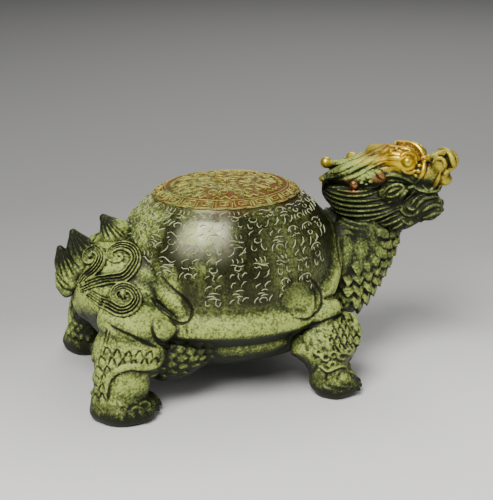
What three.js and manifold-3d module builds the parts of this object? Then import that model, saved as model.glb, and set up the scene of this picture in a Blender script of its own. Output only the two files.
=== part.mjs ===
// A dragon turtle: a small cast bronze figure with a domed shell, a turned dragon head and a curled tail.
// Units are millimetres. +X runs to the front of the body, +Y to the figure's left and +Z up.
// The figure stands on its four feet, and the origin is under the middle of its bounding box.
import * as THREE from "three";
import { mergeVertices } from "three/addons/utils/BufferGeometryUtils.js";
import Module from "manifold-3d";

const wasm = await Module();
wasm.setup();

// Driving dimensions.
const FIGURE_LENGTH = 150; // rear tip of the tail to the front of the head, along X
const PATINA_GREEN = 0x7f8a55;
const METAL_ROUGHNESS = 0.55;
const METAL_SHARE = 0.45;

// The carver's unit: the whole figure is laid out in shares of its length.
const U = FIGURE_LENGTH / 150;

// Shell, in carver's units. Its edge is low along the sides and stands up in an arch round the neck.
const SHELL = {
  centreX: -9.5,
  halfLength: 43,
  halfWidth: 37,
  baseZ: 29,
  topZ: 73.5,
  fullness: 2.75, // 2 is an ellipsoid, more is fuller at the shoulder
  edgeZ: 27.5, // lower edge of the rim along the sides
  archRise: 25, // how much higher the rim stands over the neck
  archSpread: 78, // half angle of the arch, in degrees
  underside: 20,
  sides: 30,
};
const MEDALLION = { share: 0.62, border: 0.1, relief: 0.9 };

// Head: where it sits on the neck, and how it turns towards the figure's right.
const HEAD_AT = [46.5, -3, 69];
const HEAD_TURN = { yaw: -45, pitch: 0, roll: 0 };
const HEAD_SHARE = 0.94; // size of the head against the sizes given in its own frame
const HORN_STEP = 6; // how far the left horn lies ahead of the right one

const STRIDE = 4; // how far the left front foot is ahead of the right one, as the figure walks

// Turns a list of three numbers in carver's units into a point.
const at = ([x, y, z]) => new THREE.Vector3(x, y, z).multiplyScalar(U);

// Turns a three.js geometry into a manifold-3d solid.
function solid(geometry) {
  const bare = geometry.clone();
  bare.deleteAttribute("normal");
  bare.deleteAttribute("uv");
  const merged = mergeVertices(bare, 1e-3);
  return new wasm.Manifold(
    new wasm.Mesh({
      numProp: 3,
      vertProperties: new Float32Array(merged.attributes.position.array),
      triVerts: new Uint32Array(merged.index.array),
    }),
  );
}

// A value read off a short list of values, smoothly, at share t from 0 to 1.
function along(values, t) {
  const place = THREE.MathUtils.clamp(t, 0, 1) * (values.length - 1);
  const low = Math.min(Math.floor(place), values.length - 2);
  const ease = THREE.MathUtils.smoothstep(place - low, 0, 1);
  return THREE.MathUtils.lerp(values[low], values[low + 1], ease);
}

// A round-ended form on a curved spine: a sphere whose poles lie at the ends of the spine.
// widths and heights are half sizes from start to end; up steers the height direction.
function limb({ spine, widths, heights = widths, blunt = 0.5, sides = 10, rings = 8, up = [0, 0, 1] }) {
  const curve = new THREE.CatmullRomCurve3(spine.map(at), false, "centripetal");
  const sphere = new THREE.SphereGeometry(1, sides, rings);
  const place = sphere.attributes.position;
  const upward = new THREE.Vector3(...up);
  for (let i = 0; i < place.count; i++) {
    const polar = Math.acos(THREE.MathUtils.clamp(-place.getY(i), -1, 1));
    const round = Math.atan2(place.getZ(i), place.getX(i));
    const t = (1 - Math.cos(polar)) / 2;
    const swell = Math.pow(Math.max(Math.sin(polar), 0), blunt);
    const centre = curve.getPoint(t);
    const tangent = curve.getTangent(t);
    const side = new THREE.Vector3().crossVectors(tangent, upward).normalize();
    const top = new THREE.Vector3().crossVectors(side, tangent);
    centre.addScaledVector(side, along(widths, t) * swell * Math.cos(round) * U);
    centre.addScaledVector(top, along(heights, t) * swell * Math.sin(round) * U);
    place.setXYZ(i, centre.x, centre.y, centre.z);
  }
  return sphere;
}

// An ellipsoid, turned by yaw about Z and pitch about its own Y, in degrees.
function blob({ centre, half, yaw = 0, pitch = 0, roll = 0, sides = 14, rings = 8 }) {
  const sphere = new THREE.SphereGeometry(1, sides, rings).rotateX(Math.PI / 2);
  sphere.scale(...half.map((v) => v * U));
  const turn = new THREE.Euler(...[roll, -pitch, yaw].map(THREE.MathUtils.degToRad), "ZYX");
  sphere.applyMatrix4(new THREE.Matrix4().makeRotationFromEuler(turn));
  const middle = at(centre);
  return sphere.translate(middle.x, middle.y, middle.z);
}

// Calls a maker with -1 for the figure's right side and 1 for its left.
const bothSides = (make) => [-1, 1].flatMap(make);

// The dome's radius share at a height in carver's units, and its height at a radius share.
function domeRadius(z) {
  const h = THREE.MathUtils.clamp((z - SHELL.baseZ) / (SHELL.topZ - SHELL.baseZ), 0, 1);
  return Math.pow(1 - Math.pow(h, SHELL.fullness), 1 / SHELL.fullness);
}
function domeHeight(r) {
  return SHELL.baseZ + (SHELL.topZ - SHELL.baseZ) * Math.pow(1 - Math.pow(r, SHELL.fullness), 1 / SHELL.fullness);
}

// How far up its arch the shell's edge is, from 0 along the sides to 1 over the neck.
function archShare(azimuth) {
  const share = THREE.MathUtils.clamp(Math.abs(azimuth) / SHELL.archSpread, 0, 1);
  return Math.pow(0.5 + 0.5 * Math.cos(share * Math.PI), 1.3);
}
const edgeHeight = (azimuth) => SHELL.edgeZ + SHELL.archRise * archShare(azimuth);

// A point on the dome, in carver's units: azimuth in degrees from the front, height, and lift off the surface.
function onShell(azimuth, z, lift = 0) {
  const r = domeRadius(z);
  const a = THREE.MathUtils.degToRad(azimuth);
  return [
    SHELL.centreX + (SHELL.halfLength * r + lift) * Math.cos(a),
    (SHELL.halfWidth * r + lift) * Math.sin(a),
    z,
  ];
}

// The shell: rows of points from the middle of its underside, round the flared rim, up the dome to the medallion.
// Each row gives a radius share and a height for the azimuth at hand.
function shell() {
  const outer = MEDALLION.share;
  const inner = MEDALLION.share - MEDALLION.border;
  const fixed = (r, z) => () => [r, z];
  const rim = (rise, out) => (azimuth) => {
    const z = edgeHeight(azimuth) + rise;
    return [domeRadius(z) + out * (1 - 0.6 * archShare(azimuth)), z];
  };
  const wall = (share) => (azimuth) => {
    const z = THREE.MathUtils.lerp(edgeHeight(azimuth) + 9, domeHeight(outer + 0.02), share);
    return [domeRadius(z), z];
  };
  const rows = [
    fixed(0, SHELL.underside),
    fixed(0.82, SHELL.underside),
    rim(-1, 0.05),
    rim(1, 0.085),
    rim(4.5, 0.075),
    rim(7, 0.03),
    wall(0),
    ...[0.28, 0.55, 0.8].map(wall),
    fixed(outer + 0.02, domeHeight(outer + 0.02)),
    fixed(outer, domeHeight(outer) + MEDALLION.relief),
    fixed(inner, domeHeight(inner) + MEDALLION.relief),
    fixed(inner - 0.02, domeHeight(inner - 0.02)),
    fixed(inner * 0.55, domeHeight(inner * 0.55) + MEDALLION.relief * 0.5),
    fixed(0, SHELL.topZ),
  ];
  const outline = rows.map((row, i) => new THREE.Vector2(row(180)[0], i));
  const lathe = new THREE.LatheGeometry(outline, SHELL.sides).rotateX(Math.PI / 2);
  const place = lathe.attributes.position;
  for (let i = 0; i < place.count; i++) {
    const round = Math.atan2(place.getY(i), place.getX(i));
    const [r, z] = rows[Math.round(place.getZ(i))](THREE.MathUtils.radToDeg(round));
    const point = at([
      SHELL.centreX + SHELL.halfLength * r * Math.cos(round),
      SHELL.halfWidth * r * Math.sin(round),
      z,
    ]);
    place.setXYZ(i, point.x, point.y, point.z);
  }
  return lathe;
}

function trunk() {
  return [
    blob({ centre: [-10, 0, 20.5], half: [44, 32, 14.5], sides: 14, rings: 6 }),
    blob({ centre: [-44, 0, 29.5], half: [20, 27, 14.5], sides: 12, rings: 5 }),
    blob({ centre: [-46.5, 0, 36.5], half: [21.5, 26, 15.5], sides: 12, rings: 6 }),
    blob({ centre: [-60, 0, 33], half: [8.2, 10, 9], sides: 7, rings: 4 }),
    limb({
      spine: [[10, 0, 26], [30, 0, 29], [43.5, -1, 43], [47.5, -4, 62]],
      widths: [26, 22, 16, 13],
      heights: [14, 13.5, 12.5, 14.5],
      sides: 12,
      rings: 8,
      up: [-1, 0, 0.3],
    }),
  ];
}

function rearLeg(s) {
  const p = (x, y, z) => [x, s * y, z];
  return [
    limb({
      spine: [p(-60, 19, 36), p(-51.5, 25, 32.5), p(-37, 27.5, 30)],
      widths: [9, 10.5, 8.5],
      heights: [8, 8, 7],
      sides: 8,
      rings: 4,
      blunt: 0.45,
    }),
    blob({ centre: p(-52.5, 26, 20.5), half: [13, 9.3, 11], yaw: s * 17, pitch: 10, sides: 9, rings: 6 }),
    limb({ spine: [p(-56, 29, 13), p(-57, 30, 6), p(-57.5, 30.5, 1)], widths: [7.5, 10, 11.5], heights: [8, 10.5, 12], sides: 7, rings: 3, up: [1, 0, 0] }),
    limb({
      spine: [p(-54, 26, 26), p(-56, 29.5, 15), p(-57, 30, 3)],
      widths: [9, 8.5, 9],
      heights: [10, 10, 10.5],
      sides: 9,
      rings: 6,
      up: [1, 0, 0],
    }),
    blob({ centre: p(-36, 24, 18), half: [14, 9, 9.5], pitch: 12, sides: 9, rings: 5 }),
    limb({
      spine: [p(-66.5, 26, 3), p(-56.5, 31, 3.6), p(-45.5, 34.5, 2.6)],
      widths: [9, 11, 9],
      heights: [5, 7, 4.6],
      sides: 9,
      rings: 5,
      blunt: 0.42,
    }),
    ...claws(p(-48.5, 35, 0), s * 38, 3.8),
  ];
}

function frontLeg(s) {
  const ahead = s > 0 ? STRIDE : 0;
  const p = (x, y, z) => [x + ahead, s * y, z];
  return [
    limb({
      spine: [p(15, 25, 25), p(18, 31, 18), p(18.6, 34, 9), p(19.5, 34.5, 3)],
      widths: [10, 10.5, 8.6, 8],
      heights: [13.5, 13.4, 7, 8.4],
      sides: 10,
      rings: 5,
      up: [1, 0, 0],
    }),
    blob({ centre: p(23, 28, 20.4), half: [10.8, 7.6, 8], sides: 8, rings: 5 }),
    limb({ spine: [p(8, 31, 26.5), p(16, 32.5, 30.5), p(23.5, 31.5, 33)], widths: [3, 4, 3.6], heights: [2.6, 3.4, 3.2], sides: 7, rings: 5, up: [0, s, 0] }),
    limb({ spine: [p(18.8, 34, 12), p(20, 34.6, 6), p(20.4, 35, 1)], widths: [7, 8.6, 9.4], heights: [6.4, 8.2, 9.8], sides: 7, rings: 3, up: [1, 0, 0] }),
    limb({
      spine: [p(13.4, 34, 3), p(20.6, 35, 3.4), p(28.8, 37, 2.6)],
      widths: [7.5, 9, 7.6],
      heights: [5, 6, 4.4],
      sides: 9,
      rings: 5,
      blunt: 0.42,
    }),
    ...claws(p(27.4, 36.6, 0), s * 14, 3),
  ];
}

// Four blunt claws spread over the front of a foot.
function claws([x, y, z], yaw, gap) {
  const a = THREE.MathUtils.degToRad(yaw);
  const point = (out, aside, up) => [
    x + out * Math.cos(a) - aside * Math.sin(a),
    y + out * Math.sin(a) + aside * Math.cos(a),
    z + up,
  ];
  return [-1.5, -0.5, 0.5, 1.5].map((k) =>
    limb({
      spine: [point(-4, k * gap * 0.9, 5), point(3.4 - 0.5 * k * k, k * gap, 2.2)],
      widths: [1.9, 1.9],
      heights: [2.4, 2.2],
      sides: 5,
      rings: 3,
    }));
}

// Rounded lobes that lap over the shell above each leg.
function lobes(s) {
  const on = (azimuth, z, lift) => onShell(s * azimuth, z, lift);
  const flat = [0, s, 0];
  return [
    limb({ spine: [on(141, 47, -1), on(130, 40, 1), on(119, 33.5, 2.2)], widths: [3.2, 3.8, 3.8], heights: [2.4, 2.8, 2.8], sides: 6, rings: 6, up: flat }),
    limb({ spine: [on(142, 34, 2), on(131, 30, 4), on(119, 28, 5)], widths: [3.6, 4.6, 4.6], heights: [3, 3.4, 3.4], sides: 6, rings: 5, up: flat }),
    limb({ spine: [on(72, 41, 0), on(64, 42, 0.6), on(58, 37, 1.8), on(64, 32, 3)], widths: [3, 4.4, 5, 4.6], heights: [2, 2.6, 2.8, 2.8], sides: 6, rings: 6, up: flat }),
  ];
}

// A lock of hair that winds into a flat spiral, given as a stem and the spiral's centre.
function curl({ stem, centre, radius, turns, start, normal, thickness, hand }) {
  const n = new THREE.Vector3(...normal).normalize();
  const e1 = new THREE.Vector3(0, 0, 1).addScaledVector(n, -n.z).normalize();
  const e2 = new THREE.Vector3().crossVectors(n, e1);
  const spine = [...stem];
  const steps = Math.round(turns * 7);
  for (let i = 0; i <= steps; i++) {
    const a = THREE.MathUtils.degToRad(start) + hand * (i / steps) * turns * 2 * Math.PI;
    const r = radius * (1 - 0.72 * (i / steps));
    spine.push(centre.map((v, k) => v + r * (Math.cos(a) * e1.getComponent(k) + Math.sin(a) * e2.getComponent(k))));
  }
  return limb({ spine, widths: [thickness * 0.8, thickness, thickness * 0.8], sides: 5, rings: 5 + steps, up: normal, blunt: 0.4 });
}

function tail() {
  const fin = limb({
    spine: [[-34, 0, 44], [-52, 0, 44], [-69, 0, 38]],
    widths: [29, 20, 5],
    heights: [13, 12, 6],
    sides: 12,
    rings: 6,
  });
  const spikes = [
    { root: [-46, 45], knee: [-51, 56], tip: [-55.8, 64], sizes: [13, 6.4, 2] },
    { root: [-60, 43], knee: [-64, 52], tip: [-66.6, 59.6], sizes: [9, 5.3, 1.9] },
    { root: [-66, 38], knee: [-69.6, 47], tip: [-71.6, 54], sizes: [6.8, 4.2, 1.7] },
    { root: [-67.5, 36], knee: [-71, 40], tip: [-73, 44.4], sizes: [4.6, 3.1, 1.6] },
  ].map(({ root, knee, tip, sizes }) =>
    limb({
      spine: [root, knee, tip].map(([x, z]) => [x, 0, z]),
      widths: sizes.map((size, i) => size * [0.95, 0.85, 1][i]),
      heights: sizes,
      sides: 7,
      rings: 5,
      up: [1, 0, 0.6],
    }));
  const curls = bothSides((s) => {
    const q = (x, y, z) => [x, s * y, z];
    const normal = [-0.7, s * 0.7, 0.15];
    const hand = -s;
    return [
      curl({ stem: [q(-66.5, 5, 38.5), q(-64, 8.5, 43)], centre: q(-62, 11.5, 51), radius: 3.4, turns: 1.1, start: 215, hand, normal, thickness: 1.8 }),
      curl({ stem: [q(-66.5, 6, 37.5), q(-60.5, 13, 42)], centre: q(-54.5, 20.5, 51.5), radius: 5, turns: 1.15, start: 200, hand, normal, thickness: 2.2 }),
      curl({ stem: [q(-66, 7, 36), q(-62, 14, 34)], centre: q(-54, 24, 38), radius: 4.6, turns: 1.15, start: 170, hand, normal, thickness: 2.1 }),
    ];
  });
  return [fin, ...spikes, ...curls];
}

// The head in its own frame: +X to the snout, with its origin in the middle of the skull.
function head() {
  const middle = [
    limb({ spine: [[-17, 0, 1], [-2, 0, 4.5], [18, 0, 8]], widths: [12.5, 12.5, 9.5], heights: [3.6, 7, 6.5], sides: 10, rings: 5, blunt: 0.35 }),
    limb({ spine: [[10, 0, 5], [22, 0, 6.6], [32.4, 0, 7.4]], widths: [8, 5.8, 4.4], heights: [6, 5.4, 4.8], sides: 9, rings: 5, blunt: 0.4 }),
    limb({ spine: [[-19, 0, -3], [-2, 0, -8], [14, 0, -8]], widths: [12, 12.6, 9], heights: [7, 11, 9], sides: 10, rings: 6, blunt: 0.4 }),
    limb({ spine: [[10, 0, -6.4], [20, 0, -7.2], [30.4, 0, -7]], widths: [8, 5.8, 4.8], heights: [6, 5.4, 5], sides: 9, rings: 5, blunt: 0.5 }),
    limb({ spine: [[2, 0, -14], [13, 0, -12.6], [23, 0, -10.6]], widths: [9, 7, 4], heights: [7, 6, 3.6], sides: 7, rings: 4 }),
    blob({ centre: [8, 0, 11.2], half: [11, 4.6, 4.4], pitch: -10, sides: 7, rings: 4 }),
  ];
  const pairs = bothSides((s) => {
    const p = (x, y, z) => [x, s * y, z];
    const far = s > 0 ? HORN_STEP : 0;
    return [
      blob({ centre: p(13, 5, 11.5), half: [8, 4.6, 5], pitch: -6, sides: 8, rings: 5 }),
      blob({ centre: p(18, 6.8, 11.6), half: [3.4, 2.8, 3.4], sides: 7, rings: 5 }),
      limb({ spine: [p(17, 5, 16), p(23, 6, 13.5), p(20, 8, 6.5)], widths: [1.8, 2, 1.8], sides: 5, rings: 5 }),
      limb({ spine: [p(10, 7, 12.5), p(-3, 9.5, 8.5), p(-17.5, 12.5, 1.2)], widths: [3.4, 3.6, 2], heights: [2, 2.2, 2.4], sides: 6, rings: 5 }),
      limb({ spine: [p(6 + far, 3, 7), p(-5 + far, 4.6, 7.5), p(-17 + far, 6, 7)], widths: [3, 2.4, 1.8], heights: [2.6, 2.2, 1.8], sides: 6, rings: 5 }),
      blob({ centre: p(-17 + far, 6, 6.9), half: [2.5, 2.4, 2.4], sides: 6, rings: 4 }),
      blob({ centre: p(-3, 12, 0.5), half: [4.6, 3, 3.6], sides: 6, rings: 4 }),
      limb({ spine: [p(13, 9, 1), p(9, 12, 3.5), p(5.5, 13, 8)], widths: [2.8, 2.8, 1.2], heights: [2, 2, 1.2], sides: 6, rings: 5 }),
      blob({ centre: p(12, 7.6, -1.6), half: [6.6, 3, 4.4], pitch: 14, sides: 8, rings: 5 }),
      blob({ centre: p(29.4, 3.4, 11.4), half: [3.2, 2.2, 3.4], sides: 7, rings: 5 }),
      limb({ spine: [p(23, 6, 10), p(25.5, 6.4, 2.5), p(31, 4.4, 7)], widths: [1.2, 1.3, 1.2], sides: 5, rings: 6 }),
      ...[0, 1, 2].map((k) =>
        limb({
          spine: [p(15 - k, 9.5 - 0.8 * k, -5 - 3.4 * k), p(0, 13.5 - k, -5 - 4.2 * k), p(-16 + 3 * k, 11, -0.5 - 4.8 * k)],
          widths: [1.8, 2.4, 1.6],
          heights: [2.2, 2.6, 1.8],
          sides: 5,
          rings: 6,
        })),
    ];
  });
  return [...middle, ...pairs];
}

function placedHead() {
  const { yaw, pitch, roll } = HEAD_TURN;
  const turn = new THREE.Euler(...[roll, -pitch, yaw].map(THREE.MathUtils.degToRad), "ZYX");
  const matrix = new THREE.Matrix4().makeRotationFromEuler(turn);
  matrix.scale(new THREE.Vector3(HEAD_SHARE, HEAD_SHARE, HEAD_SHARE)).setPosition(at(HEAD_AT));
  return head().map((geometry) => geometry.applyMatrix4(matrix));
}

// Joins every form into one casting, cuts the soles flat on the floor and centres it over the origin.
function casting() {
  const forms = [
    shell(),
    ...trunk(),
    ...bothSides(rearLeg),
    ...bothSides(frontLeg),
    ...bothSides(lobes),
    ...tail(),
    ...placedHead(),
  ];
  const whole = forms.map(solid).reduce((joined, form) => joined.add(form));
  const below = new THREE.BoxGeometry(3 * FIGURE_LENGTH, 3 * FIGURE_LENGTH, FIGURE_LENGTH);
  below.translate(0, 0, -FIGURE_LENGTH / 2);
  const standing = whole.subtract(solid(below));
  // Small hollows shut in between the forms are filled, as a casting has none.
  const full = wasm.Manifold.compose(standing.decompose().filter((body) => body.volume() > 0));
  const mesh = full.getMesh();
  const geometry = new THREE.BufferGeometry();
  geometry.setAttribute("position", new THREE.Float32BufferAttribute(mesh.vertProperties, mesh.numProp));
  geometry.setIndex([...mesh.triVerts]);
  geometry.computeBoundingBox();
  const middle = geometry.boundingBox.getCenter(new THREE.Vector3());
  geometry.translate(-middle.x, -middle.y, 0);
  geometry.computeVertexNormals();
  return geometry;
}

const bronze = new THREE.MeshStandardMaterial({
  color: PATINA_GREEN,
  roughness: METAL_ROUGHNESS,
  metalness: METAL_SHARE,
});

const figure = new THREE.Group();
const turtle = new THREE.Mesh(casting(), bronze);
turtle.name = "dragon_turtle";
figure.add(turtle);

export default figure;
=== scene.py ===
"""Dragon turtle figure in patinated bronze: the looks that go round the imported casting.

The carver's frame is in millimetres, with +X to the front of the body, +Y to the figure's left and +Z up.
Every form is shaped there, joined into one skin, carved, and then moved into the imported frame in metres.
"""

from __future__ import annotations

import logging
import math
from dataclasses import dataclass, field
from enum import Enum
from functools import lru_cache
from typing import Iterable, Sequence

import bpy
import numpy as np
from mathutils import Matrix, Vector
from mathutils.bvhtree import BVHTree
from mathutils.kdtree import KDTree

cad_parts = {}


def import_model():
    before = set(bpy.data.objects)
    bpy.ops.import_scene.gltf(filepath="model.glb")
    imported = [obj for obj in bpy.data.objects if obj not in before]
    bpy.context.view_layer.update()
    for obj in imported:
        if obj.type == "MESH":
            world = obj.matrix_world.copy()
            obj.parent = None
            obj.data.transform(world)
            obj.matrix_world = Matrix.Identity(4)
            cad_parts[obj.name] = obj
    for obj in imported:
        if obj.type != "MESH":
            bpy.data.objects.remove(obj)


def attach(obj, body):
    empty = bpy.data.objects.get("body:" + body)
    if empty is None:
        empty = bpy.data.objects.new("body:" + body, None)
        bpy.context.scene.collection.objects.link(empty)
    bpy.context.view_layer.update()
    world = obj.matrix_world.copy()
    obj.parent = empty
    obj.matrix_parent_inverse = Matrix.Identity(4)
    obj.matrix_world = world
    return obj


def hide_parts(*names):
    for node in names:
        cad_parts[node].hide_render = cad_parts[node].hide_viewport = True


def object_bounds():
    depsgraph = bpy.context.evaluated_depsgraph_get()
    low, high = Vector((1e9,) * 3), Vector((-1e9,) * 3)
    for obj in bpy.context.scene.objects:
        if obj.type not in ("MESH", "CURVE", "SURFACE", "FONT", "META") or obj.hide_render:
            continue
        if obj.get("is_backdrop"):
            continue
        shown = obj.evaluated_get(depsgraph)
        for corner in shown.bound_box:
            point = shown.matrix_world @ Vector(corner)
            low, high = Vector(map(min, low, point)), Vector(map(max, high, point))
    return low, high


LOG = logging.getLogger("dragon_turtle")

NODE, BODY, SLOT = "dragon_turtle", "root", "patinated_bronze"
MM = 0.001
CENTRE_SHIFT = np.array([1.163, 0.0, 0.0])  # carver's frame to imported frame, in millimetres
RIGHT, LEFT = -1, 1
SIDES = (RIGHT, LEFT)
MIRROR = np.array([1, -1, 1])  # turns a form into its twin on the other side

Array = np.ndarray
Piece = bpy.types.Object
Faces = list[tuple[int, ...]]
Sizes = Sequence[float]  # along a form, at equal steps
Triple = Sequence[float]
Place = tuple[float, float]
Line = Sequence[Place]  # mostly places in the picture, in its own pixels
Lines = Sequence[Line]


# Small helpers on numbers and arrays.


def unit(v: Array) -> Array:
    """Returns vectors scaled to length one, along the last axis."""
    length = np.linalg.norm(v, axis=-1, keepdims=True)
    return v / np.maximum(length, 1e-9)


def ease(x: Array | float) -> Array | float:
    """Returns a smooth step from 0 to 1 for x from 0 to 1."""
    x = np.clip(x, 0.0, 1.0)
    return x * x * (3 - 2 * x)


def rise(x: Array | float, start: float, width: float) -> Array | float:
    """Returns a smooth step that leaves 0 at the start and reaches 1 a width further on."""
    return ease((x - start) / width)


def fall(x: Array | float, start: float, width: float) -> Array | float:
    """Returns a smooth step that leaves 1 at the start and reaches 0 a width further on."""
    return 1 - rise(x, start, width)


def run_of(points: Array) -> Array:
    """Returns the distance along a line of points, from 0 at the first."""
    return np.concatenate([[0], np.cumsum(np.linalg.norm(np.diff(points, axis=0), axis=1))])


def along(values: Sizes, t: Array) -> Array:
    """Reads a short list of values smoothly.

    Args:
        values: Values at equal steps from start to end.
        t: Shares from 0 to 1.

    Returns:
        One value for each share.
    """
    v = np.asarray(values, float)
    if len(v) == 1:
        return np.full(np.shape(t), v[0])
    place = np.clip(t, 0, 1) * (len(v) - 1)
    low = np.minimum(np.floor(place).astype(int), len(v) - 2)
    e = ease(place - low)
    return v[low] * (1 - e) + v[low + 1] * e


def deselect() -> None:
    """Leaves nothing selected, so that an operator acts on one piece only."""
    for o in bpy.context.selected_objects:
        o.select_set(False)


def make_active(obj: Piece) -> None:
    """Selects one object alone and makes it active."""
    deselect()
    obj.select_set(True)
    bpy.context.view_layer.objects.active = obj


class Spine:
    """A smooth curve through a few points, with the spacing of a centripetal curve."""

    def __init__(self, points: Sequence[Triple]) -> None:
        """Keeps the points that the curve goes through."""
        self.points = np.asarray(points, float)

    def at(self, t: Array) -> Array:
        """Returns points on the curve at shares t from 0 to 1."""
        pts = self.points
        count = len(pts)
        if count == 2:
            return pts[0] + (pts[1] - pts[0]) * np.asarray(t)[:, None]
        place = np.clip(t, 0, 1) * (count - 1)
        low = np.minimum(np.floor(place).astype(int), count - 2)
        w = (place - low)[:, None]
        padded = np.vstack([2 * pts[0] - pts[1], pts, 2 * pts[-1] - pts[-2]])
        p0, p1, p2, p3 = (padded[low + k] for k in range(4))
        d0, d1, d2 = (
            np.maximum(np.sum((b - a) ** 2, 1, keepdims=True), 1e-8) ** 0.25
            for a, b in ((p0, p1), (p1, p2), (p2, p3))
        )
        m1 = ((p1 - p0) / d0 - (p2 - p0) / (d0 + d1) + (p2 - p1) / d1) * d1
        m2 = ((p2 - p1) / d1 - (p3 - p1) / (d1 + d2) + (p3 - p2) / d2) * d1
        c2 = -3 * p1 + 3 * p2 - 2 * m1 - m2
        c3 = 2 * p1 - 2 * p2 + m1 + m2
        return p1 + m1 * w + c2 * w**2 + c3 * w**3

    def tangent(self, t: Array) -> Array:
        """Returns unit directions of the curve at shares t."""
        step = 1e-3
        return unit(self.at(np.clip(t + step, 0, 1)) - self.at(np.clip(t - step, 0, 1)))

    def even(self, step: float) -> Array:
        """Returns points along the curve about one step apart."""
        fine = self.at(np.linspace(0, 1, 400))
        run = run_of(fine)
        marks = np.linspace(0, run[-1], max(int(run[-1] / step) + 1, 2))
        return np.stack([np.interp(marks, run, fine[:, k]) for k in range(3)], 1)


def turned(yaw: float, pitch: float = 0) -> Array:
    """Returns the 3x3 turn by pitch about Y, then by yaw about Z, in degrees."""
    about_z = Matrix.Rotation(math.radians(yaw), 3, "Z")
    return np.array(about_z @ Matrix.Rotation(math.radians(-pitch), 3, "Y"))


# Reading, writing and joining meshes.


def read_triples(items: bpy.types.bpy_prop_collection, key: str) -> Array:
    """Returns one vector of each item of a mesh, as rows."""
    out = np.empty(len(items) * 3)
    items.foreach_get(key, out)
    return out.reshape(-1, 3)


def points_of(obj: Piece) -> Array:
    """Returns the vertices of a mesh object."""
    return read_triples(obj.data.vertices, "co")


def normals_of(obj: Piece) -> Array:
    """Returns the vertex normals of a mesh object."""
    return read_triples(obj.data.vertex_normals, "vector")


def faces_of(obj: Piece) -> Faces:
    """Returns the faces of a mesh object."""
    return [tuple(p.vertices) for p in obj.data.polygons]


def set_points(obj: Piece, points: Array) -> None:
    """Writes the vertices of a mesh object."""
    obj.data.vertices.foreach_set("co", points.astype(np.float32).ravel())
    obj.data.update()


def write_mark(obj: Piece, name: str, values: Array | float) -> None:
    """Writes one number for each vertex, which the finish reads by name."""
    layer = obj.data.attributes.new(name, "FLOAT", "POINT")
    layer.data.foreach_set("value", np.broadcast_to(values, len(obj.data.vertices)).astype(np.float32))


def apply_modifier(obj: Piece, kind: str, **values: float | int | str | bool) -> None:
    """Adds one modifier to an object with these values and applies it."""
    make_active(obj)
    modifier = obj.modifiers.new(kind.lower(), kind)
    for key, value in values.items():
        setattr(modifier, key, value)
    bpy.ops.object.modifier_apply(modifier=modifier.name)


def tree_of(obj: Piece) -> BVHTree:
    """Returns a ray tree of a mesh object."""
    return BVHTree.FromPolygons([tuple(p) for p in points_of(obj)], faces_of(obj))


class Cloud:
    """Sample points that the vertices of a skin are measured against."""

    def __init__(self, points: Array) -> None:
        """Sorts the points for the search."""
        self.tree = KDTree(len(points))
        for k, p in enumerate(points):
            self.tree.insert(Vector(p), k)
        self.tree.balance()
        self.low, self.high = points.min(0), points.max(0)

    def near(self, co: Array, reach: float) -> list[tuple[int, int, float]]:
        """Finds the vertices that lie close to the cloud.

        Args:
            co: Vertices of a skin.
            reach: How far off the cloud's box a vertex may lie.

        Returns:
            The number of each such vertex, the number of its nearest sample, and the distance between them.
        """
        found = np.nonzero(np.all((co > self.low - reach) & (co < self.high + reach), axis=1))[0]
        return [(i, *self.tree.find(co[i])[1:]) for i in found]


@lru_cache
def unit_ball(sides: int, rings: int) -> tuple[Array, Faces]:
    """Models a unit sphere with its poles on Z from the sphere primitive, once for each count.

    Args:
        sides: Faces round it.
        rings: Faces from pole to pole.

    Returns:
        Its vertices and faces.
    """
    deselect()
    bpy.ops.mesh.primitive_uv_sphere_add(segments=sides, ring_count=rings, radius=1)
    ball = points_of(bpy.context.active_object), faces_of(bpy.context.active_object)
    bpy.ops.object.delete()
    return ball


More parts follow.
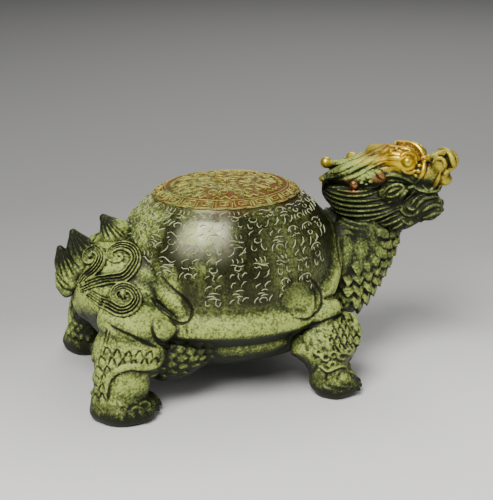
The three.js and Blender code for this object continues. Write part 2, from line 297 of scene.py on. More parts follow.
class Forms:
    """Closed forms that are joined into one skin later."""

    def __init__(self) -> None:
        """Starts with no forms."""
        self.points: list[Array] = []
        self.faces: Faces = []
        self.count = 0

    def add(self, points: Array, faces: Iterable[tuple[int, ...]]) -> None:
        """Adds one closed form."""
        shift = self.count
        self.points.append(points)
        self.faces.extend(tuple(i + shift for i in f) for f in faces)
        self.count += len(points)

    def limb(
        self, spine: Sequence[Triple], widths: Sizes, heights: Sizes | None = None, up: Triple | Array = (0, 0, 1),
        blunt: float = 0.5, sides: int = 20, rings: int = 16,
    ) -> None:
        """Adds a round-ended form on a curved spine.

        Args:
            spine: Points that the middle of the form goes through.
            widths: Half widths from start to end.
            heights: Half heights from start to end, towards up.
            up: One direction, or one for each point of the spine.
            blunt: How full the ends are; less is fuller.
            sides: Faces round the form.
            rings: Faces along the form.
        """
        ball, faces = unit_ball(sides, rings)
        t = (1 + ball[:, 2]) / 2
        swell = np.sqrt(np.maximum(1 - ball[:, 2] ** 2, 0)) ** blunt
        turn = np.arctan2(ball[:, 1], ball[:, 0])
        curve = Spine(spine)
        centre, tangent = curve.at(t), curve.tangent(t)
        upward = np.asarray(up, float)
        if upward.ndim == 2:
            upward = unit(Spine(upward).at(t))
        side = unit(np.cross(tangent, upward))
        top = np.cross(side, tangent)
        w = along(widths, t) * swell
        h = along(widths if heights is None else heights, t) * swell
        pts = centre + top * (h * np.cos(turn))[:, None] + side * (w * np.sin(turn))[:, None]
        self.add(pts, faces)

    def blob(
        self, centre: Triple, half: Triple, yaw: float = 0, pitch: float = 0, sides: int = 28, rings: int = 16
    ) -> None:
        """Adds an ellipsoid.

        Args:
            centre: Its middle.
            half: Its half sizes.
            yaw: Its turn about Z, in degrees.
            pitch: Its turn about its own Y before that.
            sides: Faces round it.
            rings: Faces from pole to pole.
        """
        ball, faces = unit_ball(sides, rings)
        self.add(ball * np.asarray(half) @ turned(yaw, pitch).T + np.asarray(centre), faces)

    def scale(
        self, place: Array, normal: Array, direction: Array, length: float, width: float, lift: float, thick: float
    ) -> None:
        """Adds one pointed scale that lies on a surface with its tip raised.

        Args:
            place: Middle of the scale on the surface.
            normal: Outward direction of the surface.
            direction: Where the tip points.
            length: From root to tip.
            width: Across the scale.
            lift: How far the tip stands off the surface.
            thick: Half thickness of the scale.
        """
        ball, faces = unit_ball(10, 6)
        x = unit(direction - normal * float(direction @ normal))
        y = np.cross(normal, x)
        a, b, c = ball[:, 2], ball[:, 1], ball[:, 0]
        b = b * (1 - 0.72 * np.clip(a, 0, 1) ** 1.5)
        flat = place + x * (a * length / 2)[:, None] + y * (b * width / 2)[:, None]
        self.add(flat + normal * (c * thick + lift * (a + 0.35))[:, None], faces)

    def moved(self, matrix: Array, offset: Triple) -> "Forms":
        """Returns a copy of all forms, turned by a 3x3 matrix and then shifted."""
        copy = Forms()
        copy.points = [p @ matrix.T + np.asarray(offset) for p in self.points]
        copy.faces, copy.count = list(self.faces), self.count
        return copy

    def absorb(self, obj: Piece) -> None:
        """Adds the mesh of an object as one more closed form."""
        self.add(points_of(obj), faces_of(obj))

    def to_object(self, name: str) -> Piece:
        """Returns one new object that holds every form."""
        mesh = bpy.data.meshes.new(name)
        mesh.from_pydata(np.vstack(self.points).tolist(), [], self.faces)
        obj = bpy.data.objects.new(name, mesh)
        bpy.context.scene.collection.objects.link(obj)
        return obj


def fuse(forms: Forms, name: str, voxel: float, smooth: int) -> Piece:
    """Joins forms into one skin.

    Args:
        forms: The closed forms, which may cut through each other.
        name: Name of the new object.
        voxel: Size of the remesh in millimetres.
        smooth: Rounds of smoothing, which soften the creases.

    Returns:
        The joined object.
    """
    obj = forms.to_object(name)
    apply_modifier(obj, "REMESH", mode="VOXEL", voxel_size=voxel, adaptivity=0.0)
    apply_modifier(obj, "SMOOTH", factor=0.5, iterations=smooth)
    return obj


def lay(f: Forms, points: Array, normals: Array, half: Sizes, height: Sizes, sink: float, sides: int) -> None:
    """Lays a rounded strand along points on a skin.

    Args:
        f: Where the strand goes.
        points: Points on the skin.
        normals: The skin's normals there.
        half: Half widths along the strand.
        height: Half heights along the strand, off the skin.
        sink: How far the middle lies under the skin.
        sides: Faces round the strand.
    """
    soft = normals.copy()
    for _ in range(3):
        soft[1:-1] = unit(soft[:-2] + soft[1:-1] + soft[2:])
    rings = int(np.clip(run_of(points)[-1] / 0.8, 8, 70))
    f.limb(points - soft * sink, half, height, up=soft, sides=sides, rings=rings, blunt=0.4)


def offset_line(line: Line, shift: Sizes = (0.0, 0.0)) -> list[Place]:
    """Returns a picture line in even steps, moved sideways by a shift that is read along it, in pixels."""
    flat = Spine([(x, y, 0) for x, y in line]).even(2.0)
    tangent = unit(np.gradient(flat, axis=0))
    side = np.stack([-tangent[:, 1], tangent[:, 0]], 1)
    moved = flat[:, :2] + side * along(shift, np.linspace(0, 1, len(flat)))[:, None]
    return [(float(x), float(y)) for x, y in moved]


@dataclass(frozen=True)
class PhotoView:
    """The camera of the photograph, with sizes in millimetres in the carver's frame."""

    azimuth: float = -17.0
    elevation: float = 19.5
    distance: float = 430.0
    focal: float = 1150.0  # in pixels of the picture
    width: int = 493
    height: int = 500
    target: tuple[float, float, float] = (-2.4, -2.0, 46.0)

    def axes(self) -> tuple[Array, Array, Array, Array]:
        """Returns the camera's place and its right, up and back directions."""
        a, e = math.radians(self.azimuth), math.radians(self.elevation)
        back = np.array([math.sin(a) * math.cos(e), -math.cos(a) * math.cos(e), math.sin(e)])
        right = unit(np.cross([0, 0, 1], back))
        return np.array(self.target) + back * self.distance, right, np.cross(back, right), back

    def draw(self, skin: BVHTree, line: Line) -> tuple[Array, Array]:
        """Draws a line of picture places onto a skin.

        Args:
            skin: The surface that is drawn on.
            line: Places in the picture.

        Returns:
            Points on the skin and its normals there. A place that misses the skin goes to the nearest point.
        """
        place, right, up, back = self.axes()
        points, normals = [], []
        for x, y in line:
            d = unit((x - self.width / 2) / self.focal * right - (y - self.height / 2) / self.focal * up - back)
            hit, normal, _, _ = skin.ray_cast(Vector(place), Vector(d))
            if hit is None:
                hit, normal, _, _ = skin.find_nearest(Vector(place + d * self.distance))
            points.append(hit)
            normals.append(normal)
        return np.array(points), np.array(normals)

    def make_camera(self) -> None:
        """Makes the scene's camera at the photograph's place."""
        data = bpy.data.cameras.new("photo_camera")
        data.sensor_fit = "AUTO"
        data.sensor_width = 36.0
        data.lens = data.sensor_width * self.focal / max(self.width, self.height)
        data.clip_start, data.clip_end = 0.01, 20.0
        camera = bpy.data.objects.new("photo_camera", data)
        bpy.context.scene.collection.objects.link(camera)
        place, _, _, back = self.axes()
        camera.location = (place + CENTRE_SHIFT) * MM
        camera.rotation_mode = "QUATERNION"
        camera.rotation_quaternion = Vector(back).to_track_quat("Z", "Y")
        bpy.context.scene.camera = camera


class Carving:
    """Grooves that are pressed into a skin along lines."""

    def __init__(self) -> None:
        """Starts with no lines."""
        self.samples: list[Array] = []
        self.shape: list[tuple[float, float]] = []

    def line(self, points: Sequence[Triple], width: float, depth: float) -> None:
        """Adds a line, with its full width and its depth, which fades to its ends."""
        run = Spine(points).even(0.35)
        last = len(run) - 1
        for k, p in enumerate(run):
            fade = min(1.0, 0.35 + 3.0 * min(k, last - k) / max(last, 1))
            self.samples.append(p)
            self.shape.append((width / 2, depth * fade))

    def press(self, obj: Piece) -> None:
        """Moves the vertices of a skin in along its normals."""
        co, normal = points_of(obj), normals_of(obj)
        move = np.zeros(len(co))
        for i, k, distance in Cloud(np.array(self.samples)).near(co, max(half for half, _ in self.shape)):
            half, depth = self.shape[k]
            if distance < half:
                slope = math.cos(0.5 * math.pi * distance / half)
                move[i] = -depth * slope * slope
        set_points(obj, co + normal * move[:, None])


@dataclass
class Carver:
    """What the sub-assemblies share: lines of the picture, drawn on a skin and repeated on the other side."""

    view: PhotoView

    def mirrored(self, points: Array, normals: Array) -> tuple[Array, Array]:
        """Returns points and normals on the other side."""
        return points * MIRROR, normals * MIRROR

    def twins(self, skin: BVHTree, line: Line) -> list[tuple[Array, Array]]:
        """Returns a picture line's points and normals on a skin, as drawn and on the other side."""
        drawn = self.view.draw(skin, line)
        return [drawn, self.mirrored(*drawn)]

    def strand(
        self, f: Forms, skin: BVHTree, line: Line, half: Sizes, height: Sizes, sink: float = 0.1, sides: int = 10
    ) -> None:
        """Lays a rounded strand along a picture line, on both sides.

        Args:
            f: Where the strands go.
            skin: The surface that they lie on.
            line: Places in the picture.
            half: Half widths along the strand.
            height: Half heights along the strand, off the skin.
            sink: How far the middle lies under the skin.
            sides: Faces round the strand.
        """
        for points, normals in self.twins(skin, line):
            lay(f, points, normals, half, height, sink, sides)

    def groove(self, cut: Carving, skin: BVHTree, line: Line, width: float, depth: float, lift: float = 0.0) -> None:
        """Adds a groove along a picture line, on both sides.

        Args:
            cut: Where the grooves go.
            skin: The surface that they are drawn on.
            line: Places in the picture.
            width: Full width of the groove.
            depth: Depth of the groove.
            lift: How far off the drawn surface the carved one lies.
        """
        for points, normals in self.twins(skin, line):
            cut.line(points + normals * lift, width, depth)


@dataclass
class Shell:
    """The domed shell. Heights and half sizes are in millimetres in the carver's frame."""

    centre_x: float = -9.5
    half_length: float = 43.0
    half_width: float = 37.0
    base_z: float = 29.0
    top_z: float = 73.5
    fullness: float = 2.75
    edge_z: float = 27.5
    arch_rise: float = 25.0
    arch_spread: float = 78.0
    underside: float = 20.0
    medallion: float = 0.62
    border: float = 0.1
    relief: float = 0.9
    sides: int = 240
    # The rim band from its lower edge up: height over the shell's edge, and how far it stands out as a radius share.
    rim_band: Line = (
        (-1.6, 0.0), (-1.35, 0.045), (-0.6, 0.07), (0.6, 0.086), (2.4, 0.087), (4.2, 0.078), (5.8, 0.05), (7.0, 0.024),
        (8.0, 0.006),
    )

    def radius(self, z: Array | float) -> Array | float:
        """Returns the dome's radius share at a height."""
        h = np.clip((np.asarray(z, float) - self.base_z) / (self.top_z - self.base_z), 0, 1)
        return (1 - h**self.fullness) ** (1 / self.fullness)

    def height(self, r: Array | float) -> Array | float:
        """Returns the dome's height at a radius share."""
        r = np.clip(np.asarray(r, float), 0, 1)
        return self.base_z + (self.top_z - self.base_z) * (1 - r**self.fullness) ** (1 / self.fullness)

    def arch(self, azimuth: Array) -> Array:
        """Returns how far up its arch the edge is, from 0 along the sides to 1 over the neck."""
        share = np.clip(np.abs(azimuth) / self.arch_spread, 0, 1)
        return (0.5 + 0.5 * np.cos(share * math.pi)) ** 1.3

    def edge(self, azimuth: Array) -> Array:
        """Returns the height of the shell's edge at an azimuth in degrees from the front."""
        return self.edge_z + self.arch_rise * self.arch(azimuth)

    def polar(self, co: Array) -> tuple[Array, Array]:
        """Returns the radius share and the azimuth in degrees from the front of each point."""
        x, y = (co[:, 0] - self.centre_x) / self.half_length, co[:, 1] / self.half_width
        return np.hypot(x, y), np.degrees(np.arctan2(y, x))

    def point(self, r: Array, a: Array, z: Array) -> Array:
        """Returns points at radius shares, angles in radians and heights."""
        return np.stack([self.centre_x + self.half_length * r * np.cos(a), self.half_width * r * np.sin(a), z], -1)

    def rows(self, azimuth: Array) -> list[tuple[Array, Array]]:
        """Returns the rows of the shell's section at each azimuth, as radius shares and heights."""
        one = np.ones_like(azimuth)
        edge, arch = self.edge(azimuth), self.arch(azimuth)

        def rim(up: float, out: float) -> tuple[Array, Array]:
            """Returns a row of the rim band, by its height over the edge and how far it stands out."""
            return self.radius(edge + up) + out * (1 - 0.6 * arch), edge + up

        def wall(share: float) -> tuple[Array, Array]:
            """Returns a row of the wall, from the rim band at 0 to the medallion at 1."""
            z = (edge + 9) * (1 - share) + self.height(self.medallion + 0.02) * share
            return self.radius(z), z

        def step(r: float, at: float, relief: float = 0.0) -> tuple[Array, Array]:
            """Returns a row of the medallion, raised by a share of its relief over the dome at a radius share."""
            return r * one, (self.height(at) + self.relief * relief) * one

        outer, inner = self.medallion, self.medallion - self.border
        return [
            (0 * one, self.underside * one),
            (0.82 * one, self.underside * one),
            *(rim(up, out) for up, out in self.rim_band),
            *(wall(k / 14) for k in range(15)),
            step(outer + 0.006, outer + 0.006),
            step(outer - 0.002, outer, 1),
            step(inner + 0.006, inner, 1),
            step(inner - 0.006, inner - 0.012),
            step(inner * 0.8, inner * 0.8, 0.2),
            step(inner * 0.45, inner * 0.45, 0.5),
            (0 * one, self.top_z * one),
        ]

    def add_to(self, forms: Forms) -> None:
        """Adds the whole shell as one closed form."""
        n = self.sides
        azimuth = np.linspace(0, 360, n, endpoint=False)
        rings = [self.point(r, np.radians(azimuth), z) for r, z in self.rows((azimuth + 180) % 360 - 180)]
        last = 1 + (len(rings) - 2) * n
        edges = [(k, (k + 1) % n) for k in range(n)]
        faces = [(0, 1 + m, 1 + k) for k, m in edges]
        faces += [(b + k, b + m, b + n + m, b + n + k) for b in range(1, last - n, n) for k, m in edges]
        faces += [(last - n + k, last - n + m, last) for k, m in edges]
        forms.add(np.vstack([rings[0][:1], *rings[1:-1], rings[-1][:1]]), faces)


def sided(s: int, *points: Triple, ahead: float = 0.0) -> list[list[float]]:
    """Returns points of one side, given by those of the left one, and moved ahead in X."""
    return [[x + ahead, s * y, z] for x, y, z in points]


def cast_in(skin: BVHTree, centre: Array, way: Array, start: float) -> tuple[Array, Array] | None:
    """Looks from outside towards a centre inside a skin.

    Args:
        skin: The surface that is met.
        centre: Where the look is aimed.
        way: Unit direction from the centre outwards.
        start: How far out the look begins.

    Returns:
        The point that is met and its normal, or None where nothing is met.
    """
    hit, normal, _, _ = skin.ray_cast(Vector(centre + way * start), Vector(-way))
    return None if hit is None else (np.array(hit), np.array(normal))


def roughed(forms: Forms, voxel: float, smooth: int) -> tuple[Forms, BVHTree]:
    """Joins the plain forms that the finer ones are laid on.

    Args:
        forms: The plain forms.
        voxel: Size of the remesh in millimetres.
        smooth: Rounds of smoothing.

    Returns:
        The joined skin as one closed form, and its ray tree.
    """
    rough = fuse(forms, "rough", voxel, smooth)
    joined, skin = Forms(), tree_of(rough)
    joined.absorb(rough)
    bpy.data.objects.remove(rough)
    return joined, skin


class Rump:
    """The forms of the rump that both the torso and the crest over it are built on."""

    @staticmethod
    def fin(f: Forms) -> None:
        """Adds the flat fin that carries the tail."""
        f.limb([[-34, 0, 44], [-52, 0, 44], [-69, 0, 38]], [29, 20, 5], [13, 12, 6], sides=40, rings=26)

    @staticmethod
    def middle(f: Forms) -> None:
        """Adds the round middle of the rump."""
        f.blob([-46.5, 0, 36.5], [21.5, 26, 15.5], sides=48, rings=24)

    @staticmethod
    def thigh(f: Forms, s: int) -> None:
        """Adds the top of one thigh."""
        spine = sided(s, (-60, 19, 36), (-51.5, 25, 32.5), (-37, 27.5, 30))
        f.limb(spine, [9, 10.5, 8.5], [8, 8, 7], sides=32, rings=22, blunt=0.45)


@dataclass
class Torso(Carver):
    """The belly, rump, neck, legs, feet and lobes, with the shell joined in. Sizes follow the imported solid."""

    shell: Shell
    stride: float = 4.0  # how far the left front leg is ahead of the right one
    foot_corner: Place = (295, 318)  # picture lines that start past this corner lie on the front leg
    voxel: float = 0.42
    girth: float = 9.0  # a limb's half thickness, by which its scales are spaced
    outlines: list[Array] = field(default_factory=list)  # the lower edges of the neck's scales
    neck_spine: tuple[Triple, ...] = ((10, 0, 26), (30, 0, 29), (43.5, -1, 43), (47.5, -4, 62))

    # Lines in the picture. Each is drawn on the right side and repeated on the left.
    skirt: Line = ((107, 322), (111, 326), (122, 332), (133, 337), (143, 342), (152, 345.5), (160, 348))
    thigh_edge: Line = (
        (164, 351), (164.5, 359), (160, 367), (151, 369.5), (134, 370), (124, 372), (116, 376), (111.5, 381),
        (109.5, 388), (108.5, 395), (107.5, 401),
    )
    # Tips of the pointed scales on the thigh, with the turn of each tip in degrees.
    thigh_tips: tuple[tuple[float, float, float], ...] = (
        (106, 349, -6), (117, 351.5, 4), (128.5, 353.5, 10), (140, 353, 14), (151, 353, 20), (100.5, 358, -12),
        (111.5, 359.5, 0), (122.5, 361.5, 8), (134, 361.5, 14), (145.5, 360.5, 18), (156, 360, 24), (97, 367.5, -10),
        (106.5, 368, -4), (117, 368.5, 6), (95, 377, -8), (103.5, 376.5, -2), (110.5, 374, 6), (94.5, 386, -6),
        (101.5, 386, 0), (94.5, 395.5, -4), (101.5, 395.5, 2),
    )
    # Tips of the slender scales on the front leg, all turned the same way, and rings and pits beside them.
    shin_tips: Line = (
        (345, 319.5), (351.5, 317.5), (357.5, 319), (336.5, 329.5), (342.5, 327.5), (349, 326), (355.5, 326.5),
        (333.5, 339), (339.5, 337), (346, 335), (352.5, 335), (358, 336.5), (337, 347), (343.5, 344.5), (350, 343),
        (355, 344.5),
    )
    shin_rings: tuple[tuple[float, float, float], ...] = (
        (325.5, 357, 4), (333, 354.5, 3.6), (341.5, 356, 4), (348, 351.5, 3.2), (332, 364.5, 3.4),
        (318, 352, 3.4),
    )
    pits: Lines = (
        ((127, 412), (126.5, 417), (127.5, 422)), ((137.3, 411.5), (137.8, 416), (139, 421)),
        ((146, 410.5), (147.4, 414), (149.4, 417.5)), ((135.5, 404.5), (131, 407), (128, 411)),
        ((310.5, 338), (310.8, 343), (312.5, 347)), ((301, 338), (304, 343)), ((305, 346), (308, 352)),
        ((318, 340), (322, 343)), ((316, 332), (320, 330)), ((322, 347), (326, 350)), ((313, 355), (316, 360)),
        ((299, 332), (303, 334)), ((324, 334), (327, 338)), ((340, 373), (337, 381)), ((347.5, 372), (352, 376)),
        ((327, 371), (326, 380)), ((318, 366), (313, 373)),
    )
    toes_drawn: Lines = (
        ((119, 406), (123, 404.6), (128.5, 408)), ((130, 411.5), (134.7, 407.2), (141.5, 408)),
        ((138.5, 404.6), (144.7, 402.2), (149.4, 404.6), (147.4, 409)), ((132.4, 413), (133, 421)),
        ((141, 411.4), (142.6, 418)), ((149.8, 408.4), (152, 412)),
        ((318, 366), (322, 367.4), (327, 371), (333, 369), (340, 366), (346, 368), (348, 373)),
        ((322, 385), (327, 388.5), (334, 389.5)), ((337, 384), (342, 387), (349, 386)),
        ((349, 371), (353, 373.5), (355, 377)),
    )
    thigh_grooves: Lines = (
        ((107.2, 329.4), (105, 337.2), (102.8, 345)), ((110, 331.7), (107.2, 340.6), (105.6, 346)),
    )
    upper_lobe: Line = (
        (146, 294), (155, 302), (163, 312), (173, 320), (181, 323.5), (188, 321), (192, 313), (189, 304), (181, 296),
        (173, 289), (166, 282), (162, 277),
    )
    lower_lobe: Line = (
        (152.8, 321.7), (152, 330), (156, 339), (162, 345), (170, 348), (180, 347.5), (186, 342.5), (187, 334),
        (185.5, 326),
    )
    front_lobe: Line = (
        (299, 278), (311, 280), (319, 288), (322, 298), (319, 309), (311, 318), (303, 320), (295, 317), (291, 313),
    )
    tongue: Line = (
        (323, 299), (332, 296), (340, 300), (343.5, 306), (340, 314), (331, 318.5), (320, 323), (306, 328.5),
        (290, 333),
    )
    collar: Line = ((335, 226), (337.5, 246), (341, 266), (344.5, 288), (346, 304))
    nape: Lines = (
        ((341, 216), (347, 220.5), (356, 223.5), (368, 224)), ((342, 222), (348, 226.5), (356, 229), (366, 229.5)),
        ((343, 229), (348, 232.5), (355, 234.5)),
    )
    # Lines of one carved scale, as distances from its place in pixels.
    bent_scale: Line = ((-4.2, 7.6), (-2.6, 2.4), (0, -1.6), (3.0, 2.0), (4.8, 7.0))
    slim_scale: Lines = (((-3.4, -5.8), (-1.4, -2.0), (0.8, 1.8), (3.2, 5.8)), ((-1.6, -2.4), (-3.0, 0.6), (-2.8, 3.8)))

    def twins(self, skin: BVHTree, line: Line) -> list[tuple[Array, Array]]:
        """Returns a picture line on both sides, a stride ahead where it lies on the left front leg."""
        twins = super().twins(skin, line)
        if line[0][0] > self.foot_corner[0] and line[0][1] > self.foot_corner[1]:
            ahead = np.array([self.stride, 0, 0])
            twins = [(points + ahead * (points[0, 1] > 0), normals) for points, normals in twins]
        return twins

    def trunk(self, f: Forms) -> None:
        """Adds belly, rump, neck and the fin that carries the tail."""
        f.blob([-10, 0, 20.5], [44, 32, 14.5], sides=48, rings=24)
        f.blob([-44, 0, 29.5], [20, 27, 14.5], sides=40, rings=20)
        Rump.middle(f)
        f.limb(self.neck_spine, [26, 22, 16, 13], [14, 13.5, 12.5, 14.5], up=(-1, 0, 0.3), sides=40, rings=28)
        for s in SIDES:
            f.limb(sided(s, (23, 12, 28), (30, 9.5, 41), (37, 6.5, 55)), [9, 8.5, 6.5], sides=28, rings=20)
            f.limb(sided(s, (32, 11, 32), (37.5, 9.2, 43), (42, 6, 55)), [8.8, 7.6, 6], sides=28, rings=20)
        Rump.fin(f)
        f.blob([-60.0, 0, 33.0], [8.2, 10.0, 9.0], sides=32, rings=18)

    def rear_leg(self, f: Forms, s: int) -> None:
        """Adds one rear leg with its foot."""
        shin = sided(s, (-54, 26, 26), (-56, 29.5, 15), (-57, 30, 3))
        ankle = sided(s, (-56, 29, 13), (-57, 30, 6), (-57.5, 30.5, 1))
        sole = sided(s, (-66.5, 26, 3), (-56.5, 31, 3.6), (-45.5, 34.5, 2.6))
        Rump.thigh(f, s)
        f.blob([-52.5, s * 26.8, 22.4], [13.2, 9.6, 12], yaw=s * 17, pitch=10)
        f.limb(ankle, [7.5, 10, 11.5], [8, 10.5, 12], up=(1, 0, 0), sides=28, rings=16)
        f.limb(shin, [9, 8.5, 9], [10, 10, 10.5], up=(1, 0, 0), sides=28, rings=18)
        f.blob([-36, s * 24, 18], [14, 9, 9.5], pitch=12)
        f.limb(sole, [9, 11, 9], [5, 7, 4.6], sides=28, rings=16, blunt=0.42)
        self.toes(f, (-48.5, s * 35, 0), s * 38, 3.8)

    def front_leg(self, f: Forms, s: int) -> None:
        """Adds one front leg with its foot; the left one is a stride ahead."""
        ahead = self.stride if s == LEFT else 0.0
        leg = sided(s, (15, 25, 25), (18, 31, 18), (18.6, 34, 9), (19.5, 34.5, 3), ahead=ahead)
        fold = sided(s, (8, 31, 26.5), (16, 32.8, 30.5), (23.5, 32, 33), ahead=ahead)
        ankle = sided(s, (18.8, 34, 12), (20, 34.6, 6), (20.4, 35, 1), ahead=ahead)
        sole = sided(s, (13.4, 34, 3), (20.6, 35, 3.4), (28.8, 37, 2.6), ahead=ahead)
        f.limb(leg, [10, 10.5, 8.6, 8], [13.5, 13.4, 7, 8.4], up=(1, 0, 0), sides=32, rings=20)
        f.blob([23 + ahead, s * 28, 20.4], [10.8, 7.6, 8])
        f.limb(fold, [3, 4, 3.6], [2.6, 3.4, 3.2], up=(0, s, 0), sides=28, rings=20)
        f.limb(ankle, [7, 8.6, 9.4], [6.4, 8.2, 9.8], up=(1, 0, 0), sides=28, rings=16)
        f.limb(sole, [7.5, 9, 7.6], [5, 6, 4.4], sides=28, rings=16, blunt=0.42)
        self.toes(f, (27.4 + ahead, s * 36.6, 0), s * 14, 3.0)

    def toes(self, f: Forms, root: Triple, yaw: float, gap: float) -> None:
        """Adds four toes, each with a broad nail, spread over the front of a foot."""
        a = math.radians(yaw)

        def point(out: float, aside: float, up: float) -> list[float]:
            """Returns a point of the foot, by its distances out, aside and up from the root of the toes."""
            return [
                root[0] + out * math.cos(a) - aside * math.sin(a),
                root[1] + out * math.sin(a) + aside * math.cos(a),
                root[2] + up,
            ]

        for k in (-1.5, -0.5, 0.5, 1.5):
            y, reach = k * gap, 2.4 - 0.5 * k * k
            toe = [point(-6, y * 0.8, 5.0), point(-2, y * 0.92, 4.6), point(reach, y, 2.5)]
            nail = [point(reach - 2.4, y, 4.6), point(reach + 0.4, y, 3.8), point(reach + 1.3, y, 1.4)]
            f.limb(toe, [2.0, 2.3, 2.1], [2.3, 2.6, 2.3], sides=16, rings=14)
            f.limb(nail, [0.8, 1.1, 0.8], [0.7, 0.8, 0.7], sides=12, rings=10)

    def lobes(self, f: Forms, skin: BVHTree) -> None:
        """Adds the rounded lobes that lap over the shell above each leg."""
        for line, half, height in (
            (((152, 284), (163, 296), (175, 307), (184, 315)), (2.4, 3.2, 3.5, 3.3), (0.9, 1.5, 1.8, 1.9)),
            (((157, 316), (161, 325), (166.5, 332.5), (174, 335)), (2.0, 3.2, 3.9, 3.7), (0.6, 1.1, 1.35, 1.3)),
            (((282, 297), (294, 297.5), (306, 299), (314, 300)), (4.5, 6.2, 6.6, 6.2), (1.2, 1.9, 2.1, 2.0)),
        ):
            self.strand(f, skin, offset_line(line), half, height, 0.2, 24)

    def base(self) -> Forms:
        """Returns the plain forms, before scales."""
        f = Forms()
        self.shell.add_to(f)
        self.trunk(f)
        for s in SIDES:
            self.rear_leg(f, s)
            self.front_leg(f, s)
        return f

    def cords(self, f: Forms, skin: BVHTree) -> None:
        """Adds the cord along the thigh's edge, the folds of the nape, the toes and the rings beside the scales."""
        thigh = [(x - 2.0, y - 2.6) for x, y in self.thigh_edge]
        self.strand(f, skin, thigh, (1.4, 1.8, 1.6, 1.0), (0.8, 1.1, 1.0, 0.6), sides=16)
        for line in self.nape:
            self.strand(f, skin, line, (0.5, 0.9, 0.9, 0.5), (0.7, 1.2, 1.2, 0.5))
        turns = np.linspace(0, 2 * math.pi, 13)
        rings = [[(x + r * math.cos(t), y + 0.86 * r * math.sin(t)) for t in turns] for x, y, r in self.shin_rings]
        for line in (*self.toes_drawn, *rings):
            self.strand(f, skin, line, (0.5, 0.72, 0.72, 0.5), (0.7, 1.05, 1.05, 0.7), sides=8)

    def neck_scales(self, f: Forms, skin: BVHTree) -> None:
        """Adds rows of pointed scales round the front and sides of the neck, with their tips down."""
        curve, rows = Spine(self.neck_spine), 9
        edge = ((-0.6, -2.7), (1.2, -2.1), (3.5, 0.0), (1.2, 2.1), (-0.6, 2.7))
        for row in range(rows):
            t = np.array([0.40 + 0.46 * row / (rows - 1)])
            centre, tangent = curve.at(t)[0], curve.tangent(t)[0]
            side = unit(np.cross(tangent, [-1, 0, 0.3]))
            front = unit(np.cross(tangent, side))
            if front[0] < 0:
                front = -front
            widest = math.radians(np.interp(row, [0, rows - 1], [122, 84]))
            for k in range(-8, 9):
                a = math.radians((k + 0.5 * (row % 2)) * 16.5)
                met = cast_in(skin, centre, math.cos(a) * front + math.sin(a) * side, 40)
                if met is None or abs(a) > widest or self.shell.polar(met[0][None])[0][0] < 1.07:
                    continue
                place, n = met
                forward = (math.sin(a) * front - math.cos(a) * side) * math.copysign(min(1.0, abs(a) / 0.5), a)
                tip = unit(forward * 0.75 - tangent)
                tip = unit(tip - n * float(tip @ n))
                across = np.cross(n, tip)
                f.scale(place, n, tip, 6.2, 5.0, 1.0, 0.7)
                self.outlines.append(np.array([place + n * 0.3 + tip * u + across * v for u, v in edge]))

    def leg_scales(self, f: Forms, skin: BVHTree, s: int) -> None:
        """Adds the scales of one front leg and one rear leg."""
        ahead = self.stride if s == LEFT else 0.0
        front = Spine(sided(s, (18, 27, 28), (19, 31, 20), (20, 34, 9), ahead=ahead))
        rear = Spine(sided(s, (-53, 26, 24), (-56, 29, 15), (-57, 30, 7)))
        inner = Spine(sided(s, (-47, 22, 18), (-36, 23, 18), (-25, 22, 20)))
        self.wrap(f, skin, front, 8, (40, 110), (0.20, 0.97), (s, 34), (3.4, 2.6), 13.5)
        self.wrap(f, skin, rear, 6, (-170, -100), (0.15, 0.9), (s, 0), (3.4, 2.8), 17.0)
        self.wrap(f, skin, inner, 7, (-60, 60), (0.1, 0.95), (s, -35), (3.4, 3.0), 11.5)

    def wrap(
        self, f: Forms, skin: BVHTree, curve: Spine, rows: int, span: Place, reach: Place, side: Place, size: Place,
        far: float,
    ) -> None:
        """Adds scales round a limb.

        Args:
            f: Where the scales go.
            skin: The surface that carries them.
            curve: The middle of the limb, from the top down.
            rows: Rows of scales along it.
            span: First and last angle round the limb, where 0 looks outwards and less is rearwards.
            reach: First and last share along the limb.
            side: The side, and how far round the outward direction is turned to the front, in degrees.
            size: Length and width of a scale.
            far: How far from the middle of the limb a scale may sit.
        """
        s, offset = side
        step = math.degrees(size[1] / self.girth)
        for row in range(rows):
            t = np.array([reach[0] + (reach[1] - reach[0]) * row / (rows - 1)])
            centre, tangent = curve.at(t)[0], curve.tangent(t)[0]
            out = unit(np.array([0, s, 0]) - tangent * tangent[1] * s)
            ahead = unit(np.cross(out, tangent)) * s
            if ahead[0] < 0 and abs(tangent[0]) < 0.7:
                ahead = -ahead
            for k in range(int((span[1] - span[0]) / step) + 1):
                a = math.radians(span[0] + (k + 0.5 * (row % 2)) * step + offset)
                met = cast_in(skin, centre, math.cos(a) * out + math.sin(a) * ahead, 24)
                if met is None or np.linalg.norm(met[0] - centre) > far or met[0][2] < 6:
                    continue
                f.scale(*met, tangent, size[0] * 1.35, size[1] * 1.12, 0.45, 0.6)

